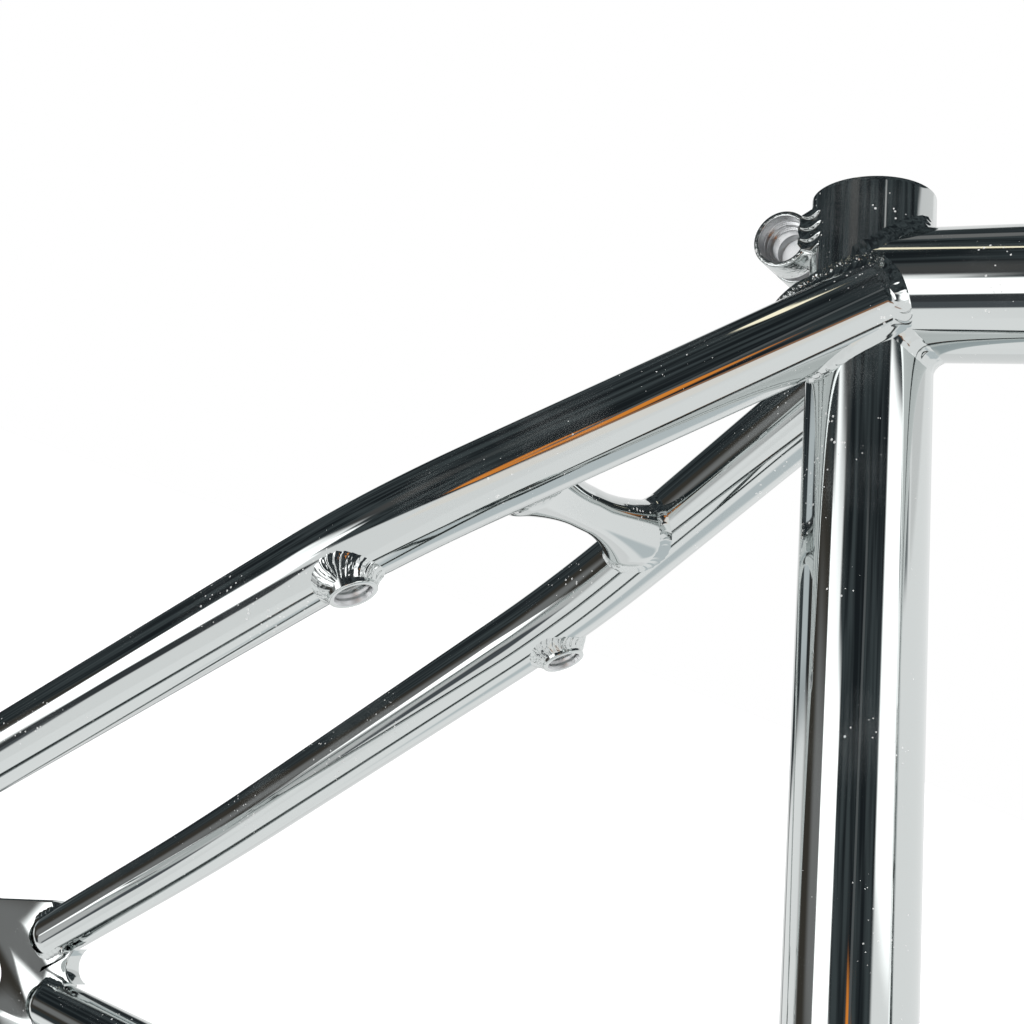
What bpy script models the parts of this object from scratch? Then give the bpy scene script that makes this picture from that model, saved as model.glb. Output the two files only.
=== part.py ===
"""Bare BMX bicycle frame: chromed steel tubes, drop-outs, brake bosses and a slotted seat clamp.

Units are metres, +Z is up, +X points to the front wheel and +Y to the rider's left.
The origin is the middle of the bottom bracket axis, from which a bicycle frame is laid out.
Every tube is a separate hollow piece, mitred to its neighbours with a small gap.
"""
import math

import bmesh
import bpy
from mathutils import Matrix, Vector

# Layout
SEAT_ANGLE = math.radians(71.0)          # seat tube, from the horizontal
HEAD_ANGLE = math.radians(74.5)          # head tube, from the horizontal
SEAT_TUBE_LENGTH = 0.2760                # bottom bracket axis to the top rim
AXLE_BACK = 0.3340                       # rear axle behind the bottom bracket axis
AXLE_DROP = 0.0410                       # rear axle below the bottom bracket axis
TOP_TUBE_BELOW_RIM = 0.0236              # where the top tube axis meets the seat tube axis
TOP_TUBE_TILT = math.radians(6.8)        # top tube below the seat tube's perpendicular
TOP_TUBE_LENGTH = 0.5050                 # seat tube axis to head tube axis
GAP = 0.0003                             # left between neighbouring pieces
CUT_PAST = 0.0100                        # how far a cutter runs past the piece's end
MERGE = 0.000001                         # doubled points of a curve's caps

# Tubes: outer radius, wall
SEAT_TUBE_R, SEAT_TUBE_WALL = 0.0143, 0.0015
SEAT_BORE_R = SEAT_TUBE_R - SEAT_TUBE_WALL
TOP_TUBE_R, TOP_TUBE_WALL = 0.01526, 0.0010
DOWN_TUBE_R, DOWN_TUBE_WALL = 0.01905, 0.0010
STAY_WALL = 0.0012
TUBE_SIDES = 40
STAY_SIDES = 24
FITTING_SIDES = 32
BRIDGE_SIDES = 28

# Head tube, with a bearing seat in each end
HEAD_TUBE_LENGTH = 0.1200
HEAD_TUBE_ABOVE_JOINT = 0.0230           # top tube axis to the head tube's upper end
HEAD_TUBE_R = 0.0223
HEAD_CUP_R = 0.0250
HEAD_CUP_HEIGHT = 0.0110
HEAD_CUP_BLEND = 0.0050
HEAD_BORE_R = 0.0186
BEARING_SEAT_R = 0.0210
BEARING_SEAT_DEPTH = 0.0030
DOWN_TUBE_JOINT = 0.0300                 # down tube axis above the head tube's lower end

# Bottom bracket shell
SHELL_WIDTH = 0.0680
SHELL_R = 0.0250
SHELL_BORE_R = 0.0206
SHELL_CHAMFER = 0.0012

# Seat stays, described beside the seat tube: they splay out, bend, and run on to the axle
STAY_SIDE = 0.01136                      # half the spacing on the seat tube axis
STAY_BELOW_RIM = 0.03174
STAY_FALL = math.radians(27.9)           # below the seat tube's perpendicular
STAY_SPLAY_UPPER = math.radians(17.2)
STAY_SPLAY_LOWER = math.radians(5.2)
STAY_SPLAY_END = math.radians(-1.0)
STAY_BEND_AT = 0.1173
STAY_TUCK_AT = 0.2750
STAY_BEND_REACH = 0.0250
STAY_FORWARD = 0.0090                    # the closed end reaches this far before the axis
STAY_R = 0.009525
STAY_TAPER = 0.0061                      # loss of radius for each metre below the bend, in metres
STAY_END_TO_AXLE = 0.0260

# Chain stays: (distance from the bottom bracket axis, half spacing)
CHAIN_STAY_CORNERS = ((0.0080, 0.0175), (0.0300, 0.0220), (0.0920, 0.0480), (0.3095, 0.0585))
CHAIN_STAY_R_FRONT = 0.0111
CHAIN_STAY_R_REAR = 0.0080
CHAIN_STAY_TAPER_FROM = 0.1200
CHAIN_STAY_REACH = 0.0100, 0.0280

# Bridges
SEAT_BRIDGE_AT = 0.0853                  # along the seat stays
SEAT_BRIDGE_R = 0.0056
SEAT_BRIDGE_FLARE = 0.0106               # half width along the stays at the ends
SEAT_BRIDGE_FLARE_HIGH = 0.0080
SEAT_BRIDGE_PLAIN, SEAT_BRIDGE_FULL = 0.10, 0.74  # shares of the half length where the flare starts and ends
SEAT_BRIDGE_CURVE = 1.8                  # how late the flare opens
SEAT_BRIDGE_RINGS = 17
CHAIN_BRIDGE_AT = 0.0600
CHAIN_BRIDGE_R = 0.00635
CHAIN_BRIDGE_PAST = 0.0100               # into the chain stays, before they cut it back

# Drop-outs
DROPOUT_THICKNESS = 0.0060
DROPOUT_SPACING = 0.1100                 # between the inner faces
AXLE_SLOT_R = 0.0072
AXLE_SLOT_BACK = 0.0360
AXLE_SLOT_FRONT = 0.0020
DROPOUT_ARM_R = 0.0098
STAY_SLOT_DEPTH = 0.0120                 # how deep the plate is let into each stay
STAY_SLOT_REACH = 0.0200
STAY_SLOT_HEIGHT = 0.0500

# Brake bosses under the seat stays
BOSS_AT = 0.1292
BOSS_SIDE = 0.0484
BOSS_R = 0.0060
BOSS_FACE = 0.0124                       # below the stay's axis
BOSS_HOLE_R = 0.0044
BOSS_HOLE_DEPTH = 0.0095
BOSS_INNER_END = 0.0010                  # above the stay's axis

# Seat clamp behind the rim
CLAMP_BACK = 0.0190
CLAMP_BELOW_RIM = 0.0101
CLAMP_R = 0.0070
CLAMP_HALF_WIDTH = 0.0093
CLAMP_BORE_R = 0.0041
CLAMP_COUNTERBORE_R = 0.00575
CLAMP_COUNTERBORE_DEPTH = 0.0045
CLAMP_SLOT = 0.0025
CLAMP_SLOT_LENGTH = 0.0250
CLAMP_RELIEF_R = 0.0025                  # round hole that ends the slot
CLAMP_NUT_SEAT_DEPTH = 0.0012
CLAMP_NECK_HALF_HEIGHT = 0.0050
CLAMP_NECK_INSET = 0.0010                # the neck is narrower than the barrel

CHROME = (0.80, 0.81, 0.83, 1.0)
STEEL = (0.55, 0.56, 0.58, 1.0)


# ------------------------------------------------------------------ scene and modifiers
def clear_scene():
    for obj in list(bpy.data.objects):
        bpy.data.objects.remove(obj, do_unlink=True)


def new_collection(name):
    collection = bpy.data.collections.new(name)
    bpy.context.scene.collection.children.link(collection)
    return collection


def finish_material(name, color, roughness):
    material = bpy.data.materials.new(name)
    material.use_nodes = True
    shader = material.node_tree.nodes["Principled BSDF"]
    shader.inputs["Base Color"].default_value = color
    shader.inputs["Metallic"].default_value = 1.0
    shader.inputs["Roughness"].default_value = roughness
    return material


def add_part(obj, color=CHROME, roughness=0.06):
    """Put a finished piece into the frame's collection, with its own material."""
    PARTS.objects.link(obj)
    obj.data.materials.clear()
    obj.data.materials.append(finish_material(obj.name + "_finish", color, roughness))
    obj.parent = ROOT
    obj.data.shade_smooth()
    obj.data.set_sharp_from_angle(angle=math.radians(35))
    return obj


def add_cutter(obj):
    CUTTERS.objects.link(obj)
    obj.hide_render = True
    obj.display_type = "WIRE"
    return obj


def combine(obj, other, operation):
    modifier = obj.modifiers.new(operation.lower() + "_" + other.name, "BOOLEAN")
    modifier.operation = operation
    modifier.solver = "EXACT"
    modifier.object = other


def cut(obj, *cutters):
    for cutter in cutters:
        combine(obj, cutter, "DIFFERENCE")


# ------------------------------------------------------------------ shapes
def place(obj, origin, axis):
    """Stand the object's own Z axis along the given axis."""
    obj.location = origin
    obj.rotation_mode = "QUATERNION"
    obj.rotation_quaternion = axis.to_track_quat("Z", "Y")


def cylinder(name, start, end, radius, sides=TUBE_SIDES):
    mesh = bpy.data.meshes.new(name)
    shape = bmesh.new()
    bmesh.ops.create_cone(shape, cap_ends=True, segments=sides, radius1=radius, radius2=radius,
                          depth=(end - start).length)
    shape.to_mesh(mesh)
    shape.free()
    obj = bpy.data.objects.new(name, mesh)
    place(obj, (start + end) / 2, end - start)
    return obj


def block(name, center, size, forward, up):
    """A box whose sides lie along forward, the bicycle's width, and up."""
    mesh = bpy.data.meshes.new(name)
    shape = bmesh.new()
    bmesh.ops.create_cube(shape, size=1.0, matrix=Matrix.Diagonal((*size, 1.0)))
    shape.to_mesh(mesh)
    shape.free()
    obj = bpy.data.objects.new(name, mesh)
    axes = Matrix((forward, up.cross(forward), up)).transposed()
    obj.matrix_world = Matrix.Translation(center) @ axes.to_4x4()
    return obj


def turned(name, profile, origin, axis, sides=TUBE_SIDES):
    """Turn a (radius, height) outline about the axis: a closed one, or one that ends on the axis."""
    mesh = bpy.data.meshes.new(name)
    points = [(radius, 0.0, height) for radius, height in profile]
    edges = [(i, i + 1) for i in range(len(points) - 1)]
    if profile[0][0] > 0.0:
        edges.append((len(points) - 1, 0))
    mesh.from_pydata(points, edges, [])
    obj = bpy.data.objects.new(name, mesh)
    screw = obj.modifiers.new("turn", "SCREW")
    screw.steps = sides
    screw.render_steps = sides
    screw.use_merge_vertices = True
    screw.merge_threshold = 0.00001
    place(obj, origin, axis)
    return obj


def mesh_from_curve(curve):
    """The mesh of a curve, with the doubled points along its caps joined."""
    path = bpy.data.objects.new(curve.name, curve)
    CUTTERS.objects.link(path)
    evaluated = path.evaluated_get(bpy.context.evaluated_depsgraph_get())
    mesh = bpy.data.meshes.new_from_object(evaluated)
    bpy.data.objects.remove(path)
    shape = bmesh.new()
    shape.from_mesh(mesh)
    bmesh.ops.remove_doubles(shape, verts=shape.verts, dist=MERGE)
    bmesh.ops.recalc_face_normals(shape, faces=shape.faces)
    shape.to_mesh(mesh)
    shape.free()
    return mesh


def swept(name, points, radii, sides=STAY_SIDES):
    """A solid round bar along the points, as a mesh, so that it can be cut and can cut."""
    curve = bpy.data.curves.new(name + "_path", "CURVE")
    curve.dimensions = "3D"
    curve.bevel_depth = 1.0
    curve.bevel_resolution = (sides - 4) // 2
    curve.use_fill_caps = True
    spline = curve.splines.new("POLY")
    spline.points.add(len(points) - 1)
    for point, co, radius in zip(spline.points, points, radii):
        point.co = (*co, 1.0)
        point.radius = radius
    return bpy.data.objects.new(name, mesh_from_curve(curve))


def rounded_path(corners, reaches, steps=6):
    """Straight runs between the corners, with each inner corner rounded off."""
    path = [corners[0]]
    for before, corner, after, reach in zip(corners, corners[1:], corners[2:], reaches):
        start = corner + (before - corner).normalized() * reach
        end = corner + (after - corner).normalized() * reach
        for step in range(steps + 1):
            t = step / steps
            path.append(start * (1 - t) ** 2 + corner * 2 * t * (1 - t) + end * t ** 2)
    path.append(corners[-1])
    return path


def rounded_outline(corners, steps=5):
    """Round each corner (x, z, radius) of a closed outline with an arc."""
    outline = []
    for index, (x, z, radius) in enumerate(corners):
        corner = Vector((x, z))
        before = (Vector(corners[index - 1][:2]) - corner).normalized()
        after = (Vector(corners[(index + 1) % len(corners)][:2]) - corner).normalized()
        if radius == 0.0:
            outline.append(corner)
            continue
        half = before.angle(after) / 2
        center = corner + (before + after).normalized() * (radius / math.sin(half))
        start = corner + before * (radius / math.tan(half)) - center
        turn = start.angle_signed(corner + after * (radius / math.tan(half)) - center)
        for step in range(steps + 1):
            outline.append(center + Matrix.Rotation(-turn * step / steps, 2) @ start)
    return outline


# ------------------------------------------------------------------ layout lines
LEFT = Vector((0.0, 1.0, 0.0))
SEAT_UP = Vector((-math.cos(SEAT_ANGLE), 0.0, math.sin(SEAT_ANGLE)))
SEAT_FORWARD = Vector((math.sin(SEAT_ANGLE), 0.0, math.cos(SEAT_ANGLE)))
HEAD_UP = Vector((-math.cos(HEAD_ANGLE), 0.0, math.sin(HEAD_ANGLE)))
RIM = SEAT_UP * SEAT_TUBE_LENGTH
AXLE = Vector((-AXLE_BACK, 0.0, -AXLE_DROP))
TOP_TUBE_DIRECTION = (SEAT_FORWARD * math.cos(TOP_TUBE_TILT) - SEAT_UP * math.sin(TOP_TUBE_TILT))
TOP_TUBE_REAR = RIM - SEAT_UP * TOP_TUBE_BELOW_RIM
TOP_TUBE_FRONT = TOP_TUBE_REAR + TOP_TUBE_DIRECTION * TOP_TUBE_LENGTH
HEAD_TOP = TOP_TUBE_FRONT + HEAD_UP * HEAD_TUBE_ABOVE_JOINT
HEAD_BOTTOM = HEAD_TOP - HEAD_UP * HEAD_TUBE_LENGTH
DOWN_TUBE_FRONT = HEAD_BOTTOM + HEAD_UP * DOWN_TUBE_JOINT
STAY_DOWN = -SEAT_FORWARD * math.cos(STAY_FALL) - SEAT_UP * math.sin(STAY_FALL)
STAY_UNDER = SEAT_FORWARD * math.sin(STAY_FALL) - SEAT_UP * math.cos(STAY_FALL)
CHAIN_BACK = AXLE.normalized()
SIDES = (("right", -1.0), ("left", 1.0))


def seat_tube_point(forward, side, up):
    """A point given beside the seat tube, from the middle of its rim."""
    return RIM + SEAT_FORWARD * forward + LEFT * side + SEAT_UP * up


def stay_direction(splay, side):
    return STAY_DOWN * math.cos(splay) + LEFT * side * math.sin(splay)


def seat_stay_path(side, extra=0.0):
    """Points and radii of a seat stay, with both ends made longer by extra."""
    origin = seat_tube_point(0.0, side * STAY_SIDE, -STAY_BELOW_RIM)
    upper = stay_direction(STAY_SPLAY_UPPER, side)
    lower = stay_direction(STAY_SPLAY_LOWER, side)
    last = stay_direction(STAY_SPLAY_END, side)
    first_length = STAY_FORWARD / (math.cos(STAY_FALL) * math.cos(STAY_SPLAY_UPPER))
    bend = origin + upper * STAY_BEND_AT
    tuck = bend + lower * (STAY_TUCK_AT - STAY_BEND_AT)
    run = (AXLE - tuck).dot(STAY_DOWN) - STAY_END_TO_AXLE
    corners = [origin - upper * (first_length + extra), bend, tuck, tuck + last * (run + extra)]
    path = rounded_path(corners, (STAY_BEND_REACH, STAY_BEND_REACH))
    radii = [STAY_R - STAY_TAPER * max(0.0, (p - origin).length - STAY_BEND_AT) for p in path]
    return path, radii


def chain_stay_path(side, extra=0.0):
    corners = [CHAIN_BACK * along + LEFT * side * across for along, across in CHAIN_STAY_CORNERS]
    corners[0] += (corners[0] - corners[1]).normalized() * extra
    corners[-1] += (corners[-1] - corners[-2]).normalized() * extra
    path = rounded_path(corners, CHAIN_STAY_REACH)
    end = CHAIN_STAY_CORNERS[-1][0]
    radii = []
    for point in path:
        t = (point.dot(CHAIN_BACK) - CHAIN_STAY_TAPER_FROM) / (end - CHAIN_STAY_TAPER_FROM)
        t = min(1.0, max(0.0, t))
        radii.append(CHAIN_STAY_R_FRONT + (CHAIN_STAY_R_REAR - CHAIN_STAY_R_FRONT) * t)
    return path, radii


def grown(radii, by):
    return [radius + by for radius in radii]


def mirrored(outline):
    """The same (radius, height) outline upside down, in running order."""
    return [(radius, -height) for radius, height in reversed(outline)]


# ------------------------------------------------------------------ pieces
def build_head_tube():
    """Head tube with a thickened cup and a chamfered bearing seat in each end."""
    half = HEAD_TUBE_LENGTH / 2
    blend = half - HEAD_CUP_HEIGHT
    seat = half - BEARING_SEAT_DEPTH
    chamfer = BEARING_SEAT_R - HEAD_BORE_R
    upper_outer = [(BEARING_SEAT_R, half), (HEAD_CUP_R, half), (HEAD_CUP_R, blend),
                   (HEAD_TUBE_R, blend - HEAD_CUP_BLEND)]
    upper_inner = [(HEAD_BORE_R, seat - chamfer), (BEARING_SEAT_R, seat)]
    profile = upper_outer + mirrored(upper_outer) + mirrored(upper_inner) + upper_inner
    tube = turned("head_tube", profile, (HEAD_TOP + HEAD_BOTTOM) / 2, HEAD_UP)
    outer = [(HEAD_CUP_R + GAP, half), (HEAD_CUP_R + GAP, blend - GAP),
             (HEAD_TUBE_R + GAP, blend - HEAD_CUP_BLEND - GAP)]
    outline = [(0.0, half)] + outer + mirrored(outer) + [(0.0, -half)]
    cutter = turned("head_tube_cutter", outline, (HEAD_TOP + HEAD_BOTTOM) / 2, HEAD_UP)
    add_cutter(cutter)
    return add_part(tube), cutter


def build_bottom_bracket_shell():
    half = SHELL_WIDTH / 2
    inset = half - SHELL_CHAMFER
    profile = [(SHELL_BORE_R + SHELL_CHAMFER, half), (SHELL_R - SHELL_CHAMFER, half), (SHELL_R, inset),
               (SHELL_R, -inset), (SHELL_R - SHELL_CHAMFER, -half),
               (SHELL_BORE_R + SHELL_CHAMFER, -half), (SHELL_BORE_R, -inset), (SHELL_BORE_R, inset)]
    shell = turned("bottom_bracket_shell", profile, Vector((0.0, 0.0, 0.0)), LEFT)
    reach = LEFT * SHELL_WIDTH
    cutter = add_cutter(cylinder("shell_cutter", -reach, reach, SHELL_R + GAP))
    return add_part(shell), cutter


def build_tube(name, start, end, radius, wall):
    """A straight tube, open at both ends, and a cutter that clears its outside."""
    tube = cylinder(name, start, end, radius)
    past = (end - start).normalized() * CUT_PAST
    bore = add_cutter(cylinder(name + "_bore", start - past, end + past, radius - wall))
    outside = add_cutter(cylinder(name + "_cutter", start, end, radius + GAP))
    cut(tube, bore)
    return add_part(tube), outside


def build_seat_clamp(seat_tube, seat_tube_outside):
    """Two ears of a slotted clamp: a plain one for the bolt's head and one for its thread."""
    center = seat_tube_point(-CLAMP_BACK, 0.0, -CLAMP_BELOW_RIM)
    slot_middle = seat_tube_point(-SEAT_TUBE_R, 0.0, (CUT_PAST - CLAMP_SLOT_LENGTH) / 2)
    slot = block("clamp_slot", slot_middle, (CUT_PAST, CLAMP_SLOT, CLAMP_SLOT_LENGTH + CUT_PAST),
                 SEAT_FORWARD, SEAT_UP)
    relief_end = seat_tube_point(-SEAT_TUBE_R, 0.0, -CLAMP_SLOT_LENGTH)
    relief = cylinder("clamp_relief", relief_end - SEAT_FORWARD * CUT_PAST / 2,
                      relief_end + SEAT_FORWARD * CUT_PAST / 2, CLAMP_RELIEF_R, FITTING_SIDES)
    cut(seat_tube, add_cutter(slot), add_cutter(relief))
    inner = CLAMP_SLOT / 2
    width = CLAMP_HALF_WIDTH - inner
    for side_name, side in SIDES:
        counterbore = CLAMP_COUNTERBORE_DEPTH if side_name == "right" else CLAMP_NUT_SEAT_DEPTH
        floor = width - counterbore
        profile = [(CLAMP_COUNTERBORE_R, width), (CLAMP_R, width), (CLAMP_R, 0.0), (CLAMP_BORE_R, 0.0),
                   (CLAMP_BORE_R, floor), (CLAMP_COUNTERBORE_R, floor)]
        ear = turned("seat_clamp_ear_" + side_name, profile, center + LEFT * side * inner,
                     LEFT * side, FITTING_SIDES)
        neck_from, neck_to = -CLAMP_BACK + (CLAMP_COUNTERBORE_R + CLAMP_R) / 2, -SEAT_BORE_R
        neck_middle = seat_tube_point((neck_from + neck_to) / 2, side * (inner + width / 2),
                                      -CLAMP_BELOW_RIM)
        neck_size = (neck_to - neck_from, width - CLAMP_NECK_INSET, 2 * CLAMP_NECK_HALF_HEIGHT)
        neck = block("clamp_neck_" + side_name, neck_middle, neck_size, SEAT_FORWARD, SEAT_UP)
        combine(ear, add_cutter(neck), "UNION")
        cut(ear, seat_tube_outside)
        add_part(ear)


def build_stay(name, stay_path, side, neighbours):
    """A hollow stay along its path, and a cutter that clears its outside."""
    path, radii = stay_path(side)
    stay = swept(name, path, radii)
    long_path, long_radii = stay_path(side, extra=CUT_PAST)
    bore = swept(name + "_bore", long_path, grown(long_radii, -STAY_WALL))
    cut(stay, add_cutter(bore), *neighbours)
    outside = swept(name + "_cutter", long_path, grown(long_radii, GAP))
    return add_part(stay), add_cutter(outside)


def build_brake_boss(side_name, side, stay):
    """Threaded boss let into the underside of a seat stay."""
    origin = seat_tube_point(0.0, side * STAY_SIDE, -STAY_BELOW_RIM)
    along = math.cos(STAY_SPLAY_UPPER) * STAY_BEND_AT
    along += math.cos(STAY_SPLAY_LOWER) * (BOSS_AT - STAY_BEND_AT)
    axis_point = origin + STAY_DOWN * along
    axis_point.y = side * BOSS_SIDE
    floor = BOSS_FACE - BOSS_HOLE_DEPTH
    profile = [(0.0, floor), (BOSS_HOLE_R, floor), (BOSS_HOLE_R, BOSS_FACE), (BOSS_R, BOSS_FACE),
               (BOSS_R, -BOSS_INNER_END), (0.0, -BOSS_INNER_END)]
    boss = turned("brake_boss_" + side_name, profile, axis_point, STAY_UNDER, FITTING_SIDES)
    hole = cylinder("boss_hole_" + side_name, axis_point, axis_point + STAY_UNDER * BOSS_FACE,
                    BOSS_R + GAP, FITTING_SIDES)
    cut(stay, add_cutter(hole))
    return add_part(boss, STEEL, 0.15)


def build_seat_stay_bridge(stay_cutters):
    """Round bridge that flares smoothly into wide ends against the stays."""
    half = STAY_SIDE + SEAT_BRIDGE_AT * math.sin(STAY_SPLAY_UPPER)
    mesh = bpy.data.meshes.new("seat_stay_bridge")
    shape = bmesh.new()
    rings, sides = SEAT_BRIDGE_RINGS, BRIDGE_SIDES
    for ring in range(rings):
        across = half * (2 * ring / (rings - 1) - 1)
        flare = (abs(across) / half - SEAT_BRIDGE_PLAIN) / (SEAT_BRIDGE_FULL - SEAT_BRIDGE_PLAIN)
        blend = min(1.0, max(0.0, flare)) ** SEAT_BRIDGE_CURVE
        wide = SEAT_BRIDGE_R + (SEAT_BRIDGE_FLARE - SEAT_BRIDGE_R) * blend
        high = SEAT_BRIDGE_R + (SEAT_BRIDGE_FLARE_HIGH - SEAT_BRIDGE_R) * blend
        for index in range(sides):
            angle = 2 * math.pi * index / sides
            shape.verts.new((wide * math.cos(angle), across, high * math.sin(angle)))
    shape.verts.ensure_lookup_table()
    for ring in range(rings - 1):
        for index in range(sides):
            a, b = ring * sides + index, ring * sides + (index + 1) % sides
            shape.faces.new([shape.verts[i] for i in (a, a + sides, b + sides, b)])
    shape.faces.new(shape.verts[:sides])
    shape.faces.new(shape.verts[-sides:])
    bmesh.ops.recalc_face_normals(shape, faces=shape.faces)
    shape.to_mesh(mesh)
    shape.free()
    bridge = bpy.data.objects.new("seat_stay_bridge", mesh)
    axes = Matrix((STAY_DOWN, LEFT, STAY_DOWN.cross(LEFT))).transposed()
    middle = seat_tube_point(0.0, 0.0, -STAY_BELOW_RIM)
    middle += STAY_DOWN * SEAT_BRIDGE_AT * math.cos(STAY_SPLAY_UPPER)
    bridge.matrix_world = Matrix.Translation(middle) @ axes.to_4x4()
    cut(bridge, *stay_cutters)
    return add_part(bridge)


def build_chain_stay_bridge(stay_cutters):
    middle = CHAIN_BACK * CHAIN_BRIDGE_AT
    reach = LEFT * (CHAIN_STAY_CORNERS[1][1] + CHAIN_BRIDGE_PAST)
    bridge = cylinder("chain_stay_bridge", middle - reach, middle + reach, CHAIN_BRIDGE_R, BRIDGE_SIDES)
    cut(bridge, *stay_cutters)
    return add_part(bridge)


def dropout_outline():
    """Plate around the axle slot, with an arm to each stay; x forward and z up from the axle."""
    stay_end = AXLE - STAY_DOWN * (STAY_END_TO_AXLE + STAY_SLOT_DEPTH - GAP)
    offset = (seat_tube_point(0.0, 0.0, -STAY_BELOW_RIM) - AXLE).dot(STAY_UNDER)
    seat_end = stay_end + STAY_UNDER * offset - AXLE
    chain_length = AXLE.length - CHAIN_STAY_CORNERS[-1][0] + STAY_SLOT_DEPTH - GAP
    chain_end = -CHAIN_BACK * chain_length
    across_chain = Vector((CHAIN_BACK.z, 0.0, -CHAIN_BACK.x)) * DROPOUT_ARM_R
    across_seat = STAY_UNDER * DROPOUT_ARM_R
    web = (seat_end.normalized() + chain_end.normalized()).normalized() * 0.0290
    points = [(chain_end - across_chain, 0.002), (chain_end + across_chain, 0.002), (web, 0.006),
              (seat_end + across_seat, 0.002), (seat_end - across_seat, 0.002)]
    corners = [(point.x, point.z, radius) for point, radius in points]
    back, slot, front = -AXLE_SLOT_BACK, AXLE_SLOT_R, AXLE_SLOT_FRONT
    corners += [(-0.0100, 0.0230, 0.012), (back, 0.0185, 0.006), (back, slot, 0.0015),
                (front + slot, slot, slot * 0.999), (front + slot, -slot, slot * 0.999),
                (back, -slot, 0.0015), (back, -0.0185, 0.006), (0.0100, -0.0225, 0.014)]
    return rounded_outline(corners)


def build_dropout(side_name, side, seat_stay, chain_stay):
    curve = bpy.data.curves.new("dropout_" + side_name, "CURVE")
    curve.dimensions = "2D"
    curve.fill_mode = "BOTH"
    curve.extrude = DROPOUT_THICKNESS / 2
    outline = dropout_outline()
    spline = curve.splines.new("POLY")
    spline.points.add(len(outline) - 1)
    for point, corner in zip(spline.points, outline):
        point.co = (corner.x, corner.y, 0.0, 1.0)
    spline.use_cyclic_u = True
    plate = bpy.data.objects.new("dropout_" + side_name, mesh_from_curve(curve))
    across = side * (DROPOUT_SPACING + DROPOUT_THICKNESS) / 2
    center = AXLE + LEFT * across
    plate.matrix_world = Matrix.Translation(center) @ Matrix.Rotation(math.pi / 2, 4, "X")
    slot_size = (STAY_SLOT_DEPTH + STAY_SLOT_REACH, DROPOUT_THICKNESS + 2 * GAP, STAY_SLOT_HEIGHT)
    seat_slot_at = center - STAY_DOWN * (STAY_END_TO_AXLE + slot_size[0] / 2 - STAY_SLOT_REACH)
    seat_slot = block("seat_stay_slot_" + side_name, seat_slot_at, slot_size, -STAY_DOWN, -STAY_UNDER)
    chain_end = AXLE.length - CHAIN_STAY_CORNERS[-1][0]
    chain_slot_at = center - CHAIN_BACK * (chain_end + slot_size[0] / 2 - STAY_SLOT_REACH)
    chain_up = Vector((CHAIN_BACK.z, 0.0, -CHAIN_BACK.x))
    chain_slot = block("chain_stay_slot_" + side_name, chain_slot_at, slot_size, -CHAIN_BACK, chain_up)
    cut(seat_stay, add_cutter(seat_slot))
    cut(chain_stay, add_cutter(chain_slot))
    return add_part(plate)


def build_frame():
    _, head_cutter = build_head_tube()
    _, shell_cutter = build_bottom_bracket_shell()
    seat_tube, seat_cutter = build_tube("seat_tube", Vector((0.0, 0.0, 0.0)), RIM,
                                        SEAT_TUBE_R, SEAT_TUBE_WALL)
    top_tube, top_cutter = build_tube("top_tube", TOP_TUBE_REAR, TOP_TUBE_FRONT,
                                      TOP_TUBE_R, TOP_TUBE_WALL)
    down_tube, _ = build_tube("down_tube", Vector((0.0, 0.0, 0.0)), DOWN_TUBE_FRONT,
                              DOWN_TUBE_R, DOWN_TUBE_WALL)
    cut(seat_tube, shell_cutter)
    cut(top_tube, seat_cutter, head_cutter)
    cut(down_tube, shell_cutter, seat_cutter, head_cutter)
    build_seat_clamp(seat_tube, seat_cutter)
    seat_stay_cutters, chain_stay_cutters = [], []
    for side_name, side in SIDES:
        seat_stay, seat_stay_cutter = build_stay("seat_stay_" + side_name, seat_stay_path, side,
                                                 (seat_cutter, top_cutter))
        chain_stay, chain_stay_cutter = build_stay("chain_stay_" + side_name, chain_stay_path, side,
                                                   (shell_cutter,))
        build_brake_boss(side_name, side, seat_stay)
        build_dropout(side_name, side, seat_stay, chain_stay)
        seat_stay_cutters.append(seat_stay_cutter)
        chain_stay_cutters.append(chain_stay_cutter)
    build_seat_stay_bridge(seat_stay_cutters)
    build_chain_stay_bridge(chain_stay_cutters)


clear_scene()
PARTS = new_collection("bmx_frame")
CUTTERS = new_collection("cutters")
ROOT = bpy.data.objects.new("bmx_frame_origin", None)
PARTS.objects.link(ROOT)
build_frame()
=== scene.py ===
"""Looks of a bare chromed BMX frame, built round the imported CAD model.

Every tube, fitting and weld bead is made again as a dense, smooth mesh, because chrome shows each facet.
Units are metres, +X is forward, +Y is the rider's left and +Z is up; the origin is the bottom bracket axis.
"""

import math

import bmesh
import bpy
import numpy as np
from mathutils import Matrix, Vector


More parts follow.
